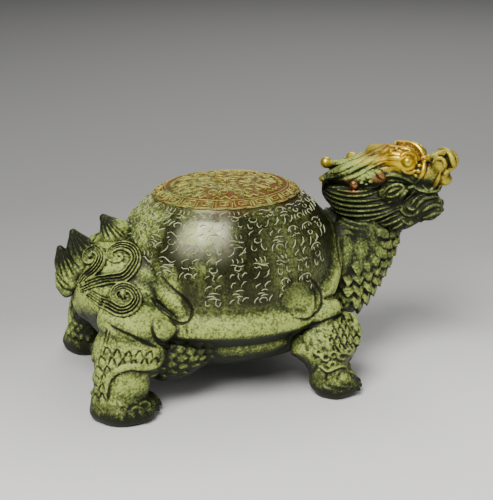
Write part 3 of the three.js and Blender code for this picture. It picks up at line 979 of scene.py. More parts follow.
    def carve(self, obj: Piece, skin: BVHTree) -> None:
        """Carves the scales, pits and edges that the picture shows, and the edges of the neck's scales."""
        cuts: list[tuple[Line, float, float]] = []
        for x, y, turn in self.thigh_tips:
            c, r = math.cos(math.radians(turn)), math.sin(math.radians(turn))
            cuts.append(([(x + dx * c - dy * r, y + dx * r + dy * c) for dx, dy in self.bent_scale], 1.25, 0.6))
        for x, y in self.shin_tips:
            cuts += [([(x + dx, y + dy) for dx, dy in part], 1.5, 0.85) for part in self.slim_scale]
        cuts += [(line, 2.0, 0.4) for line in self.pits]
        cuts += [(line, 1.2, 0.45) for line in self.thigh_grooves]
        cuts += [(self.skirt, 1.5, 0.75), (self.thigh_edge, 1.8, 0.9)]
        cuts += [(line, 1.7, 0.7) for line in (self.upper_lobe, self.lower_lobe, self.front_lobe)]
        cuts += [(line, 1.8, 0.7) for line in (self.tongue, self.collar)]
        carving = Carving()
        for line, width, depth in cuts:
            self.groove(carving, skin, line, width, depth)
        for outline in self.outlines:
            carving.line(outline, 1.1, 0.6)
        carving.press(obj)

    def build(self) -> Piece:
        """Returns the joined and carved skin."""
        forms, skin = roughed(self.base(), 0.6, 8)
        self.shell.add_to(forms)
        self.lobes(forms, skin)
        self.cords(forms, skin)
        self.neck_scales(forms, skin)
        for s in SIDES:
            self.leg_scales(forms, skin, s)
        obj = fuse(forms, "turtle_body", self.voxel, 1)
        self.carve(obj, skin)
        return obj


@dataclass
class Tail(Carver):
    """The flame crest over the rump and the three curls on each side of it."""

    voxel: float = 0.26
    # Each spike in the middle plane: root, knee and tip, then its half size across at those three.
    spikes: tuple[tuple[Line, tuple[float, ...]], ...] = (
        (((-46, 45), (-51, 56), (-56, 64.2)), (13, 6.4, 2)),
        (((-60, 43), (-64, 52), (-66.8, 59.8)), (9, 5.3, 1.9)),
        (((-66, 38), (-69.6, 47), (-71.7, 54.1)), (6.8, 4.2, 1.7)),
        (((-67.5, 36), (-71, 40), (-73, 44.4)), (4.6, 3.1, 1.6)),
    )
    # Middle lines of the curls in the picture, from the root to the eye of the spiral.
    curls: Lines = (
        (
            (78, 286), (86, 277), (95, 270), (100.6, 263), (102, 257), (99, 251.6), (93, 249.4), (87, 251.6),
            (85, 257), (88, 261.6), (93, 261.6), (95.4, 258), (93, 255.5),
        ),
        (
            (79, 289), (93, 283), (109, 279), (123, 277), (131, 270), (136.4, 260), (133, 251), (125, 247),
            (116, 248), (110, 253), (111, 259), (117, 261), (122, 258), (120, 254.5), (117, 255),
        ),
        (
            (88, 293), (97, 299), (109, 306), (121, 312), (131, 309), (136.4, 300), (133, 291), (124, 287),
            (116, 290), (113.6, 297), (118, 303), (125, 304), (129, 299), (125, 296), (122.5, 298),
        ),
    )
    spread: tuple[float, float, float] = (3.6, 4.4, 4.2)  # half width of each curl's band, in pixels
    eyes: Line = ((90.4, 255.4), (123.2, 294.4))  # of the spirals that hold a bead
    grooves: Lines = (
        ((100.6, 222), (101.4, 230), (103.6, 239)), ((102.8, 221.5), (105.5, 230.5), (110, 240)),
        ((105.2, 221), (110.5, 230), (117.5, 240)), ((108, 221.5), (116, 230.5), (125.5, 240.5)),
        ((111.5, 223.5), (121.5, 231.5), (132.5, 240)), ((70.6, 238), (71.4, 247), (75, 256)),
        ((73, 236), (76.5, 246), (82, 256)), ((75.6, 235), (82, 245), (89.6, 254)),
        ((79, 236), (87, 243.5), (96, 251.5)), ((58.8, 252), (59, 265), (63, 280)),
        ((61, 251), (63.4, 265), (69, 280)), ((63.4, 252), (68.4, 264), (75, 276)),
        ((66.4, 254), (73, 262), (80, 270)), ((55.5, 276), (59, 283), (64.5, 290)),
        ((57.8, 275), (63, 281.5), (69.5, 287)),
    )

    def base(self) -> Forms:
        """Returns the cores of the spikes."""
        f = Forms()
        for places, (root, knee, tip) in self.spikes:
            spine = [[x, 0, z] for x, z in places]
            half = [root * 0.95, knee * 0.85, tip]
            f.limb(spine, half, [root, knee, tip], up=(1, 0, 0.6), sides=36, rings=26, blunt=0.45)
        return f

    def bands(self, shares: Sequence[float]) -> list[list[Place]]:
        """Returns lines along every curl, at these shares of its band's half width from its middle."""
        taper = np.array([0.8, 1, 1, 0.85, 0.5, 0.2])
        return [
            offset_line(line, k * half * taper) for line, half in zip(self.curls, self.spread) for k in shares
        ]

    def build(self) -> Piece:
        """Returns the carved crest, laid on the skin of the rump."""
        under = self.base()
        Rump.fin(under)
        Rump.middle(under)
        for s in SIDES:
            Rump.thigh(under, s)
        _, skin = roughed(under, 0.8, 3)
        f = self.base()
        for line in self.bands((-1.0, -0.34, 0.34, 1.0)):
            self.strand(f, skin, line, (0.35, 0.62, 0.68, 0.62, 0.4), (0.9, 1.3, 1.4, 1.3, 1.0))
        for eye in self.eyes:
            for points, normals in self.twins(skin, [eye]):
                f.blob(points[0] + normals[0] * 0.1, [1.25] * 3)
        obj = fuse(f, "tail_crest", self.voxel, 1)
        carving = Carving()
        for line in self.bands((-0.67, 0.0, 0.67)):
            self.groove(carving, skin, line[:-8], 1.05, 0.7, lift=0.9)
        for line in self.grooves:
            self.groove(carving, skin, line, 1.5, 0.55)
        carving.press(obj)
        return obj


@dataclass(frozen=True)
class Ridge:
    """A raised form on the head, along a line in the picture, with half sizes in millimetres along it."""

    line: Line
    half: Sizes
    height: Sizes
    sink: float = 0.1


@dataclass(frozen=True)
class Bead:
    """A small round form on the head, at a place in the picture, with its radius in millimetres."""

    place: Place
    radius: float
    sink: float = 0.2


@dataclass
class Head(Carver):
    """The dragon's head, shaped with +X to the snout and its middle at the skull, then turned on the neck."""

    place: tuple[float, float, float] = (46.5, -3.0, 69.0)
    yaw: float = -45.0
    share: float = 0.94  # size of the head on the neck, as a share of its own frame's
    horn_step: float = 6.0  # how far the left horn is ahead
    voxel: float = 0.25
    mane: Lines = (
        ((362, 187.6), (372, 186.6), (381, 184)), ((334, 189), (347, 191.8), (361, 191.9), (375, 188)),
        ((320, 184.7), (330, 191.3), (343.3, 195.5), (358.3, 196.3), (371.7, 193.8), (381.7, 189.7)),
        ((320.8, 188.8), (331.7, 196.3), (346.7, 200.5), (361.7, 201.3), (375, 199.7), (385, 198)),
        ((321.7, 193), (333.3, 201.3), (348.3, 205.5), (363.3, 206.3), (378.3, 204.7), (393.3, 201.3)),
        ((324.2, 198), (335, 206.3), (350, 210), (365, 210.5), (380, 208.8), (396.7, 204.7)),
        ((325.8, 203), (338.3, 211.7), (353.3, 215), (368.3, 214.7), (383.3, 212.2), (400, 206.3)),
        ((352, 220), (366.7, 219.7), (380, 216.3), (393.3, 211.3), (401.7, 208.8)),
        ((363.3, 224.7), (373.3, 223), (386.7, 218.8), (400, 213.8)),
        ((370, 228.8), (380, 226.3), (393.3, 222.2), (403.3, 217.2)),
        ((373.3, 233), (386.7, 230.5), (398.3, 225.5), (406.7, 220.5)),
    )
    crown: Lines = (
        ((321.7, 179.7), (338.3, 176.3), (355, 169.7), (366.7, 161.3), (378.3, 154.7), (388.3, 148), (400, 143)),
        ((323.3, 169.7), (336.7, 171.3), (350, 164.7), (363.3, 156.3)),
        ((333.3, 174.7), (350, 171.3), (363.3, 164.7), (376.7, 158)),
        ((343.3, 182.2), (360, 173), (373.3, 166.3), (386.7, 159.7)),
        ((330, 166), (342, 163), (356, 158), (368, 152)), ((352, 163.5), (366, 157), (378, 150.5), (388, 146)),
    )
    streaks: Lines = (
        ((368, 168), (378, 163), (388, 160.5), (397, 161)), ((370, 164), (380, 158.5), (390, 155.5), (399, 156)),
        ((374, 159), (384, 153.5), (394, 150.5), (402, 151.5)), ((366, 171.5), (376, 168), (386, 166), (395, 167)),
    )
    ridges: tuple[Ridge, ...] = (
        Ridge(((316.7, 181), (326.7, 186), (338, 187.6), (347, 186)), (1, 1.1, 0.9, 0.5), (1, 1.1, 0.9, 0.5)),
        Ridge(((375, 170), (378, 172), (381.5, 175.5), (386, 179)), (0.7, 1.3, 1.3, 0.6), (0.8, 1.5, 1.4, 0.6), -0.3),
        Ridge(
            ((383.5, 176.5), (391, 175), (400, 176.3), (408, 179.7), (415, 184.7)), (0.5, 1.1, 1, 0.5),
            (0.5, 1.1, 1, 0.6),
        ),
        Ridge(((387, 181.5), (394, 180.2), (401, 181), (407, 184.4)), (0.4, 0.8, 0.8, 0.4), (0.5, 0.9, 0.9, 0.4)),
        Ridge(
            ((400, 157), (404, 154), (410, 153.8), (415, 157), (416.7, 164.7)), (0.5, 0.8, 0.8, 0.5),
            (0.6, 1, 1, 0.6),
        ),
        Ridge(((401.7, 169.7), (406, 172), (411, 172.4), (417, 169.5)), (0.5, 0.9, 0.9, 0.5), (0.6, 1, 1, 0.6)),
        Ridge(
            (
                (383.3, 147.2), (393.3, 143.4), (406.7, 142.2), (418.3, 147.8), (423.6, 158), (423.8, 169.7),
                (419.2, 179.7), (415, 184.6),
            ),
            (0.6, 1.1, 1.2, 1.2, 1, 0.6),
            (0.6, 1.2, 1.3, 1.3, 1.1, 0.6),
            -0.1,
        ),
        Ridge(
            ((426.7, 158), (430, 153.6), (436, 151.6), (443, 152), (449, 156), (451.6, 163.8), (451.6, 171.3)),
            (0.7, 1.2, 1.3, 1.2, 0.8), (0.7, 1.3, 1.4, 1.2, 0.8), -0.9,
        ),
        Ridge(
            ((433, 164), (436.5, 159), (441.5, 158.6), (444.6, 162.5), (444, 168)), (0.5, 0.8, 0.8, 0.5),
            (0.5, 0.9, 0.9, 0.5), -0.2,
        ),
        Ridge(
            ((422.5, 184.7), (426, 188.6), (429.4, 190.4), (433.3, 186.5), (437.6, 179.7), (440.4, 171.5)),
            (0.5, 0.8, 0.9, 0.8, 0.4), (0.6, 1, 1.1, 0.9, 0.5), -0.1,
        ),
        Ridge(
            ((415, 188.5), (426.7, 191.6), (438.3, 190), (449.5, 186.2)), (0.6, 0.9, 0.9, 0.7), (0.6, 1, 1, 0.7),
            0,
        ),
        Ridge(
            (
                (384, 193.6), (388, 188.5), (394, 185.8), (401, 185.8), (403.6, 188.4), (399, 193.4), (392, 196.6),
                (386, 196.4),
            ),
            (0.5, 0.7, 0.7, 0.5),
            (0.6, 0.9, 0.9, 0.6),
            -0.2,
        ),
        Ridge(((388, 193), (394, 190), (400, 188.4)), (0.4, 0.8, 0.4), (0.4, 0.8, 0.4), -0.2),
        Ridge(
            ((399, 199.4), (404, 192.6), (409.6, 187.6), (417, 186.4)), (0.5, 0.9, 0.9, 0.5), (0.6, 1, 1, 0.5),
            -0.2,
        ),
        Ridge(((403.5, 201), (409.5, 196.4), (415, 190.6)), (0.4, 0.8, 0.5), (0.5, 0.9, 0.5), -0.1),
        Ridge(
            ((410, 206.4), (416, 199.4), (423, 194.4), (431, 191.8)), (0.5, 0.9, 0.8, 0.4), (0.6, 1, 0.9, 0.4),
            -0.1,
        ),
        Ridge(
            ((416, 208.4), (421, 201.8), (428, 198), (436.4, 197.2), (440.6, 201.6)), (0.5, 1, 1.1, 1, 0.6),
            (0.6, 1.1, 1.2, 1.1, 0.6), -0.2,
        ),
        Ridge(
            ((421.6, 213), (427.4, 208.4), (434, 205.2), (441, 206)), (0.5, 1, 1, 0.7), (0.6, 1.1, 1.1, 0.7),
            -0.1,
        ),
        Ridge(
            ((421, 218.6), (428, 215.8), (435, 213.2), (441, 212.4)), (0.5, 0.9, 0.9, 0.6), (0.6, 1.1, 1.1, 0.6),
            -0.1,
        ),
        Ridge(
            ((416.4, 217), (423, 221.4), (431, 222), (438.4, 218.6)), (0.5, 0.9, 1, 0.6), (0.6, 1.1, 1.1, 0.6),
            -0.1,
        ),
        Ridge(((399, 208), (405, 214), (413, 215.4), (420, 211)), (0.5, 0.9, 0.8, 0.4), (0.5, 1, 0.9, 0.4)),
        Ridge(((401, 218.6), (407.4, 223.6), (415, 222.4)), (0.5, 0.9, 0.5), (0.5, 1, 0.5)),
        Ridge(((403, 227), (409.4, 229.4), (415.6, 226.6)), (0.5, 0.8, 0.5), (0.5, 0.9, 0.5)),
        Ridge(((406, 205.6), (411.4, 209.6), (417, 208.4)), (0.4, 0.8, 0.4), (0.5, 0.9, 0.5)),
    )
    beads: tuple[Bead, ...] = (
        Bead((354, 184.6), 1.9), Bead((361.7, 182.8), 0.9), Bead((366.2, 184.4), 0.9), Bead((370.6, 181.6), 1.0),
        Bead((368.0, 177.8), 0.7), Bead((407.8, 161.8), 2.1, 0.5), Bead((446.2, 181.6), 2.0, 0.6),
    )
    # Equal beads in a row under the brow's ridge.
    brow_row: Line = (
        (391, 151.4), (396.4, 149.0), (402, 147.6), (407.6, 147.6), (413, 150.2), (416.8, 154.6), (419, 160),
        (419.4, 165.6), (418.4, 171), (416, 176),
    )

    def turn(self) -> Array:
        """Returns the head's 3x3 turn, with its scale."""
        return turned(self.yaw) * self.share

    def to_body(self, points: Array) -> Array:
        """Moves points from the head's frame to the carver's frame."""
        return points @ self.turn().T + np.asarray(self.place)

    def to_head(self, points: Array) -> Array:
        """Moves points from the carver's frame to the head's frame."""
        return (points - np.asarray(self.place)) @ np.linalg.inv(self.turn()).T

    def mirrored(self, points: Array, normals: Array) -> tuple[Array, Array]:
        """Returns points and normals of the carver's frame mirrored to the far side of the head."""
        r = turned(self.yaw)
        return self.to_body(self.to_head(points) * MIRROR), ((normals @ r) * MIRROR) @ r.T

    def base(self) -> Forms:
        """Returns the head's main forms in its own frame: skull, snout, jaw, throat, brow, tongue and nose."""
        f = Forms()
        for spine, widths, heights, sides, rings, blunt in (
            ([[-17, 0, 1], [-2, 0, 4.5], [18, 0, 8]], [12.5, 12.5, 9.5], [3.6, 7, 6.5], 32, 20, 0.35),
            ([[10, 0, 5], [22, 0, 6.6], [32.4, 0, 7.4]], [8, 5.8, 4.4], [6, 5.4, 4.8], 28, 18, 0.4),
            ([[-19, 0, -3], [-2, 0, -8], [14, 0, -8]], [12, 12.6, 9], [7, 11, 9], 32, 20, 0.4),
            ([[10, 0, -6.4], [20, 0, -7.2], [30.4, 0, -7]], [8, 5.8, 4.8], [6, 5.4, 5.0], 24, 16, 0.5),
            ([[2, 0, -14], [13, 0, -12.6], [23, 0, -10.6]], [9, 7, 4], [7, 6, 3.6], 24, 16, 0.5),
        ):
            f.limb(spine, widths, heights, sides=sides, rings=rings, blunt=blunt)
        f.blob([8, 0, 11.2], [11, 4.6, 4.4], pitch=-10)
        f.limb([[8, 0, 0.5], [20, 0, 0.4], [28.4, 0, 0.2]], [8, 4.6, 3.4], [4, 3.6, 3.2], sides=24, rings=16)
        f.blob([30.6, 0, 12], [3.4, 2.6, 3.0])
        for s in SIDES:
            self.side(f, s)
        return f

    def side(self, f: Forms, s: int) -> None:
        """Adds the brow, ear, horn with its ball, cheek and nostril of one side."""
        far = self.horn_step if s == LEFT else 0.0
        ear = sided(s, (10, 7, 12.5), (-3, 9.5, 8.5), (-17.5, 12.5, 1.2))
        horn = sided(s, (6, 3, 7), (-5, 4.6, 7.5), (-16, 6, 7), ahead=far)
        f.blob([13, s * 5, 11.5], [8, 4.6, 5], pitch=-6)
        f.limb(ear, [3.0, 3.2, 1.8], [2, 2.2, 2.2])
        f.limb(horn, [3, 2.4, 1.6], [2.6, 2.2, 1.5])
        f.blob([-17.2 + far, s * 6, 6.9], [2.5, 2.5, 2.5])
        f.blob([12, s * 7.4, -1.6], [6.2, 2.6, 4.0], pitch=14)
        f.blob([29.4, s * 3.4, 11.4], [3.2, 2.2, 3.4])

    def strands(self, f: Forms, skin: BVHTree) -> None:
        """Adds the hair, ridges, leaves and beads that the picture shows, on both sides."""
        hair = [Ridge(line, (0.4, 0.74, 0.74, 0.4), (0.6, 1.2, 1.2, 0.6)) for line in self.mane]
        hair += [Ridge(line, (0.6, 0.9, 1.0, 0.6), (0.45, 0.6, 0.7, 0.5), 0.15) for line in self.crown]
        for ridge in (*hair, *self.ridges):
            self.strand(f, skin, offset_line(ridge.line), ridge.half, ridge.height, ridge.sink)
        for bead in (*self.beads, *(Bead(place, 0.8, 0.0) for place in self.brow_row)):
            for points, normals in self.twins(skin, [bead.place]):
                f.blob(points[0] - normals[0] * bead.sink, [bead.radius] * 3)

    def grooves(self, skin: BVHTree) -> Carving:
        """Returns the fine grooves along the strands, on both sides."""
        cut = Carving()
        for line in self.mane:
            self.groove(cut, skin, offset_line(line[:-1], (2.3, 2.3)), 0.8, 0.5)
        for line in self.crown:
            for shift in (-3.0, 3.0):
                self.groove(cut, skin, offset_line(line, (shift, shift)), 0.6, 0.18)
        for line in self.streaks:
            self.groove(cut, skin, line, 0.9, 0.4)
        return cut

    def build(self) -> Piece:
        """Returns the joined and carved head."""
        forms, skin = roughed(self.base().moved(self.turn(), self.place), 0.6, 5)
        self.strands(forms, skin)
        obj = fuse(forms, "dragon_head", self.voxel, 1)
        self.grooves(tree_of(obj)).press(obj)
        return obj


class Mark(Enum):
    """The shapes that a group of loose strokes on the shell is put together from."""

    BAR = "bar"
    ROOF = "roof"
    HOOKS = "hooks"
    LOOP = "loop"
    LEGS = "legs"
    FORK = "fork"
    WAVE = "wave"
    TICKS = "ticks"


@dataclass
class ShellLines:
    """Raised lines on the shell: rows of short strokes, the key-fret border and the rosette inside it."""

    shell: Shell
    seed: int = 11
    columns: int = 28
    first: float = 0.30  # place of the first column, as a share of a column's width
    rows: int = 4
    pitch: float = 8.9  # from row to row along the shell
    cell: tuple[float, float] = (7.6, 7.9)  # room for one group of strokes
    half: float = 0.23  # half width of a stroke
    raised: float = 0.34  # its half height
    frets: int = 22
    rails: int = 24  # pieces of each of the two lines beside the frets
    bed: float = 0.08  # how deep a stroke's middle lies in the shell
    key: Line = (
        (-0.46, 0.5), (-0.46, -0.5), (0.40, -0.5), (0.40, 0.34), (-0.24, 0.34), (-0.24, -0.18), (0.16, -0.18),
        (0.16, 0.06), (-0.06, 0.06),
    )
    drawn: list[Array] = field(default_factory=list)  # points along every stroke, for the dirt beside them
    _run: Array = field(init=False)  # distance down the shell's section, radius share and height
    _girth: Array = field(init=False)  # share of the way round, and angle in radians

    def __post_init__(self) -> None:
        """Measures the shell's section from the medallion down, and the way round it."""
        z = np.linspace(self.shell.height(0.05), self.shell.edge_z + 6, 700)
        r = self.shell.radius(z)
        mean = (self.shell.half_length + self.shell.half_width) / 2
        run = np.concatenate([[0], np.cumsum(np.hypot(np.diff(z), np.diff(r) * mean))])
        self._run = np.stack([run, r, z], 1)
        a = np.radians(np.linspace(0, 360, 721))
        girth = run_of(np.stack([self.shell.half_length * np.cos(a), self.shell.half_width * np.sin(a)], 1))
        self._girth = np.stack([girth / girth[-1], a], 1)

    def run_at(self, share: float) -> float:
        """Returns the distance down the section at a radius share."""
        return float(np.interp(share, self._run[:, 1], self._run[:, 0]))

    def angle_at(self, turn: float) -> float:
        """Returns the angle in radians at a share of the way round."""
        return float(np.interp(turn % 1.0, self._girth[:, 0], self._girth[:, 1]))

    def place(self, turn: float, down: float, aside: Array, up: Array) -> tuple[Array, Array]:
        """Finds points and normals on the shell.

        Args:
            turn: Share of the way round, from the front to the left.
            down: Distance down the section to the middle of a group of strokes.
            aside: Distances to the right as seen from outside, in millimetres.
            up: Distances up.

        Returns:
            The points on the dome and the normals there.
        """
        s = self.shell
        r = np.interp(down - up, self._run[:, 0], self._run[:, 1])
        z = np.interp(down - up, self._run[:, 0], self._run[:, 2])
        angle = self.angle_at(turn)
        across = np.hypot(s.half_length * math.sin(angle), s.half_width * math.cos(angle)) * np.maximum(r, 0.05)
        a = angle + aside / across
        tall, power = s.top_z - s.base_z, s.fullness - 1
        slope = np.clip((z - s.base_z) / tall, 0, 1) ** power / tall
        out = np.maximum(r, 1e-3) ** power
        normal = np.stack([out * np.cos(a) / s.half_length, out * np.sin(a) / s.half_width, slope], 1)
        return s.point(r, a, z), unit(normal)

    def stroke(
        self, f: Forms, turn: float, down: float, line: Array, half: float, raised: float, lift: float = 0.0
    ) -> None:
        """Adds one raised stroke.

        Args:
            f: Where the stroke goes.
            turn: Share of the way round.
            down: Distance down the section.
            line: Distances aside and up from there, in millimetres.
            half: Half width of the stroke.
            raised: Half height of the stroke.
            lift: How far the surface under it stands over the dome.
        """
        flat = Spine(np.column_stack([line, np.zeros(len(line))]))
        fine = flat.at(np.linspace(0, 1, int(np.clip(run_of(line)[-1] / 0.7, 4, 16))))
        points, normals = self.place(turn, down, fine[:, 0], fine[:, 1])
        self.drawn.append(points)
        widths, rings = [half * 0.8, half, half, half * 0.7], max(len(fine), 5)
        f.limb(points + normals * (lift - self.bed), widths, [raised], up=normals, sides=6, rings=rings, blunt=0.35)

    def stroke_group(self, rng: np.random.Generator) -> list[Array]:
        """Draws one group of loose strokes, which are arcs, commas and ripples and no letters.

        Args:
            rng: Where the chances come from.

        Returns:
            The lines of the strokes, in a cell from -0.5 to 0.5.
        """
        out: list[Array] = []

        def add(*points: Place) -> None:
            """Adds one stroke with its points a little off."""
            out.append(np.array(points) + rng.normal(0, 0.018, (len(points), 2)))

        def both(*points: Place) -> None:
            """Adds a stroke and its twin beside it."""
            add(*points)
            apart = 2 * sum(x for x, _ in points) / len(points)
            add(*((x - apart, y + 0.03) for x, y in points))

        def arc(middle: float, half: Place, start: float, end: float) -> None:
            """Adds an arc from one angle to another, in degrees."""
            a = np.radians(np.linspace(start, end, 9))
            out.append(np.stack([half[0] * np.cos(a), middle + half[1] * np.sin(a)], 1))

        top = [Mark.ROOF, Mark.HOOKS, Mark.TICKS, Mark.WAVE][int(rng.integers(4))]
        middle = [Mark.LOOP, Mark.BAR, Mark.WAVE][int(rng.integers(3))]
        foot = [Mark.LEGS, Mark.FORK, Mark.HOOKS, Mark.LOOP][int(rng.integers(4))]
        w = float(rng.uniform(0.3, 0.42))
        if top is Mark.ROOF:
            add((-w, 0.24), (-w * 0.7, 0.4), (0, 0.47), (w * 0.7, 0.4), (w, 0.24))
            both((-0.12, 0.36), (-0.2, 0.28), (-0.16, 0.2))
        elif top is Mark.HOOKS:
            both((-0.06, 0.5), (-0.2, 0.44), (-w, 0.34), (-w * 0.9, 0.24))
        elif top is Mark.TICKS:
            for k in (-1, 0, 1):
                add((k * 0.22 - 0.05, 0.48), (k * 0.22 + 0.02, 0.36), (k * 0.2, 0.25))
            add((-w, 0.17), (-w / 2, 0.22), (0, 0.15), (w / 2, 0.11), (w, 0.17))
        else:
            add((-w, 0.36), (-w / 2, 0.44), (0, 0.36), (w / 2, 0.28), (w, 0.38))
            both((0.16, 0.2), (0.27, 0.17), (0.33, 0.22))
        if middle is Mark.LOOP:
            r = float(rng.uniform(0.13, 0.19))
            arc(0.02, (r * 1.2, r * 0.8), 100, 400)
        elif middle is Mark.BAR:
            for y, aside in ((0.1, 0.08), (-0.02, -0.1), (-0.13, 0.06)):
                k = float(rng.uniform(0.45, 0.8)) * w
                add((aside - k, y), (aside, y + 0.06), (aside + k, y - 0.02))
        else:
            both((-w, 0.1), (-w * 0.6, 0.0), (-w * 0.2, 0.08), (-0.04, -0.06))
        if foot is Mark.LEGS:
            both((-0.08, -0.12), (-0.16, -0.3), (-0.28, -0.44), (-0.42, -0.48))
            add((0.3, -0.2), (0.36, -0.28), (0.31, -0.36))
        elif foot is Mark.FORK:
            add((-0.1, -0.12), (0.05, -0.2), (-0.06, -0.34), (0.1, -0.47))
            both((-0.16, -0.24), (-0.32, -0.24), (-0.4, -0.4))
        elif foot is Mark.HOOKS:
            both((-0.3, -0.14), (-0.34, -0.36), (-0.18, -0.46), (-0.12, -0.32))
        else:
            arc(-0.32, (0.2, 0.13), -40, 250)
            both((-0.24, -0.14), (-0.42, -0.3), (-0.44, -0.46))
        return out

    def columns_of_strokes(self) -> Forms:
        """Returns the columns of loose strokes all round the shell."""
        rng = np.random.default_rng(self.seed)
        f = Forms()
        top = self.run_at(self.shell.medallion) + 4.6
        for column in range(self.columns):
            turn = (column + self.first) / self.columns
            azimuth = (math.degrees(self.angle_at(turn)) + 180) % 360 - 180
            floor_z = float(self.shell.edge(np.array([azimuth]))[0]) + 9.5
            for row in range(self.rows):
                down = top + row * self.pitch + float(rng.normal(0, 0.25))
                z = float(np.interp(down, self._run[:, 0], self._run[:, 2]))
                group = self.stroke_group(rng)
                if z - self.cell[1] / 2 < floor_z or (abs(azimuth) > 118 and z < 49):
                    continue
                size = np.array(self.cell) * float(rng.uniform(0.92, 1.08))
                for line in group:
                    self.stroke(f, turn, down, line * size, self.half, self.raised)
        return f

    def border(self) -> Forms:
        """Returns the key-fret border on the medallion's ring, with a line along each side of it."""
        f = Forms()
        s = self.shell
        outer, inner = s.medallion, s.medallion - s.border
        down = (self.run_at(outer) + self.run_at(inner)) / 2
        tall = (self.run_at(outer) - self.run_at(inner)) * 0.80
        girth = 2 * math.pi * (outer + inner) / 2 * math.sqrt((s.half_length**2 + s.half_width**2) / 2)
        key = np.array(self.key)
        for k in range(self.frets):
            for a, b in zip(key[:-1], key[1:]):
                line = np.array([a, (a + b) / 2, b]) * np.array([girth / self.frets, tall])
                self.stroke(f, (k + 0.5) / self.frets, down, line, 0.24, 0.3, s.relief)
        for edge in (-0.62, 0.62):
            reach = girth / self.rails * (1 + edge * 0.16) * 0.52
            line = np.array([(-reach, edge * tall), (0, edge * tall), (reach, edge * tall)])
            for k in range(self.rails):
                self.stroke(f, (k + 0.5) / self.rails, down, line, 0.18, 0.32, s.relief)
        return f

    def rosette(self, f: Forms) -> None:
        """Adds a plain rosette of leaves, two rings of cloud scrolls and two of waves, inside the border."""
        s = self.shell
        size = np.array([s.half_length, s.half_width]) * (s.medallion - s.border)

        def around(line: Line | Array, turn: float, half: float = 0.22) -> None:
            """Adds a line of the unit circle, turned about its middle, in radians."""
            c, r = math.cos(turn), math.sin(turn)
            x, y = (np.asarray(line) @ np.array([[c, r], [-r, c]]) * size).T
            z = s.height(np.hypot(x / s.half_length, y / s.half_width)) + 0.25
            points = np.column_stack([x + s.centre_x, y, z])
            rings = int(np.clip(run_of(points)[-1] / 0.6, 6, 40))
            f.limb(points, [half * 0.8, half, half, half * 0.6], [0.42], sides=8, rings=rings, blunt=0.35)

        for k in range(6):
            around([(0.05, 0), (0.14, -0.07), (0.25, 0), (0.14, 0.07), (0.05, 0)], 2 * math.pi * k / 6)
        t = np.linspace(0, 1, 12)
        angle = math.pi * (0.1 + 2.1 * t)
        for radius, count, curl, phase in ((0.40, 7, 0.085, 0.0), (0.73, 11, 0.10, 0.5)):
            r = curl * (1 - 0.66 * t)
            for k in range(count):
                for m in (1, -1):
                    stem = [(radius - curl * 1.7, m * 0.01), (radius - curl * 0.4, m * curl * 0.25)]
                    scroll = np.stack([radius + r * np.cos(angle) * 1.15, m * (curl - r * np.sin(angle))], 1)
                    around(np.vstack([stem, scroll]), 2 * math.pi * (k + phase) / count)
        for radius, count in ((0.55, 9), (0.90, 12)):
            steps = np.linspace(-0.42, 0.42, 7) * 2 * math.pi / count
            wave = radius + 0.035 * np.cos(np.arange(7) * math.pi)
            for k in range(count):
                around(np.stack([wave * np.cos(steps), wave * np.sin(steps)], 1), 2 * math.pi * (k + 0.5) / count, 0.24)
        f.blob([s.centre_x, 0, s.top_z - 0.2], [*(size * 0.085), 0.9])


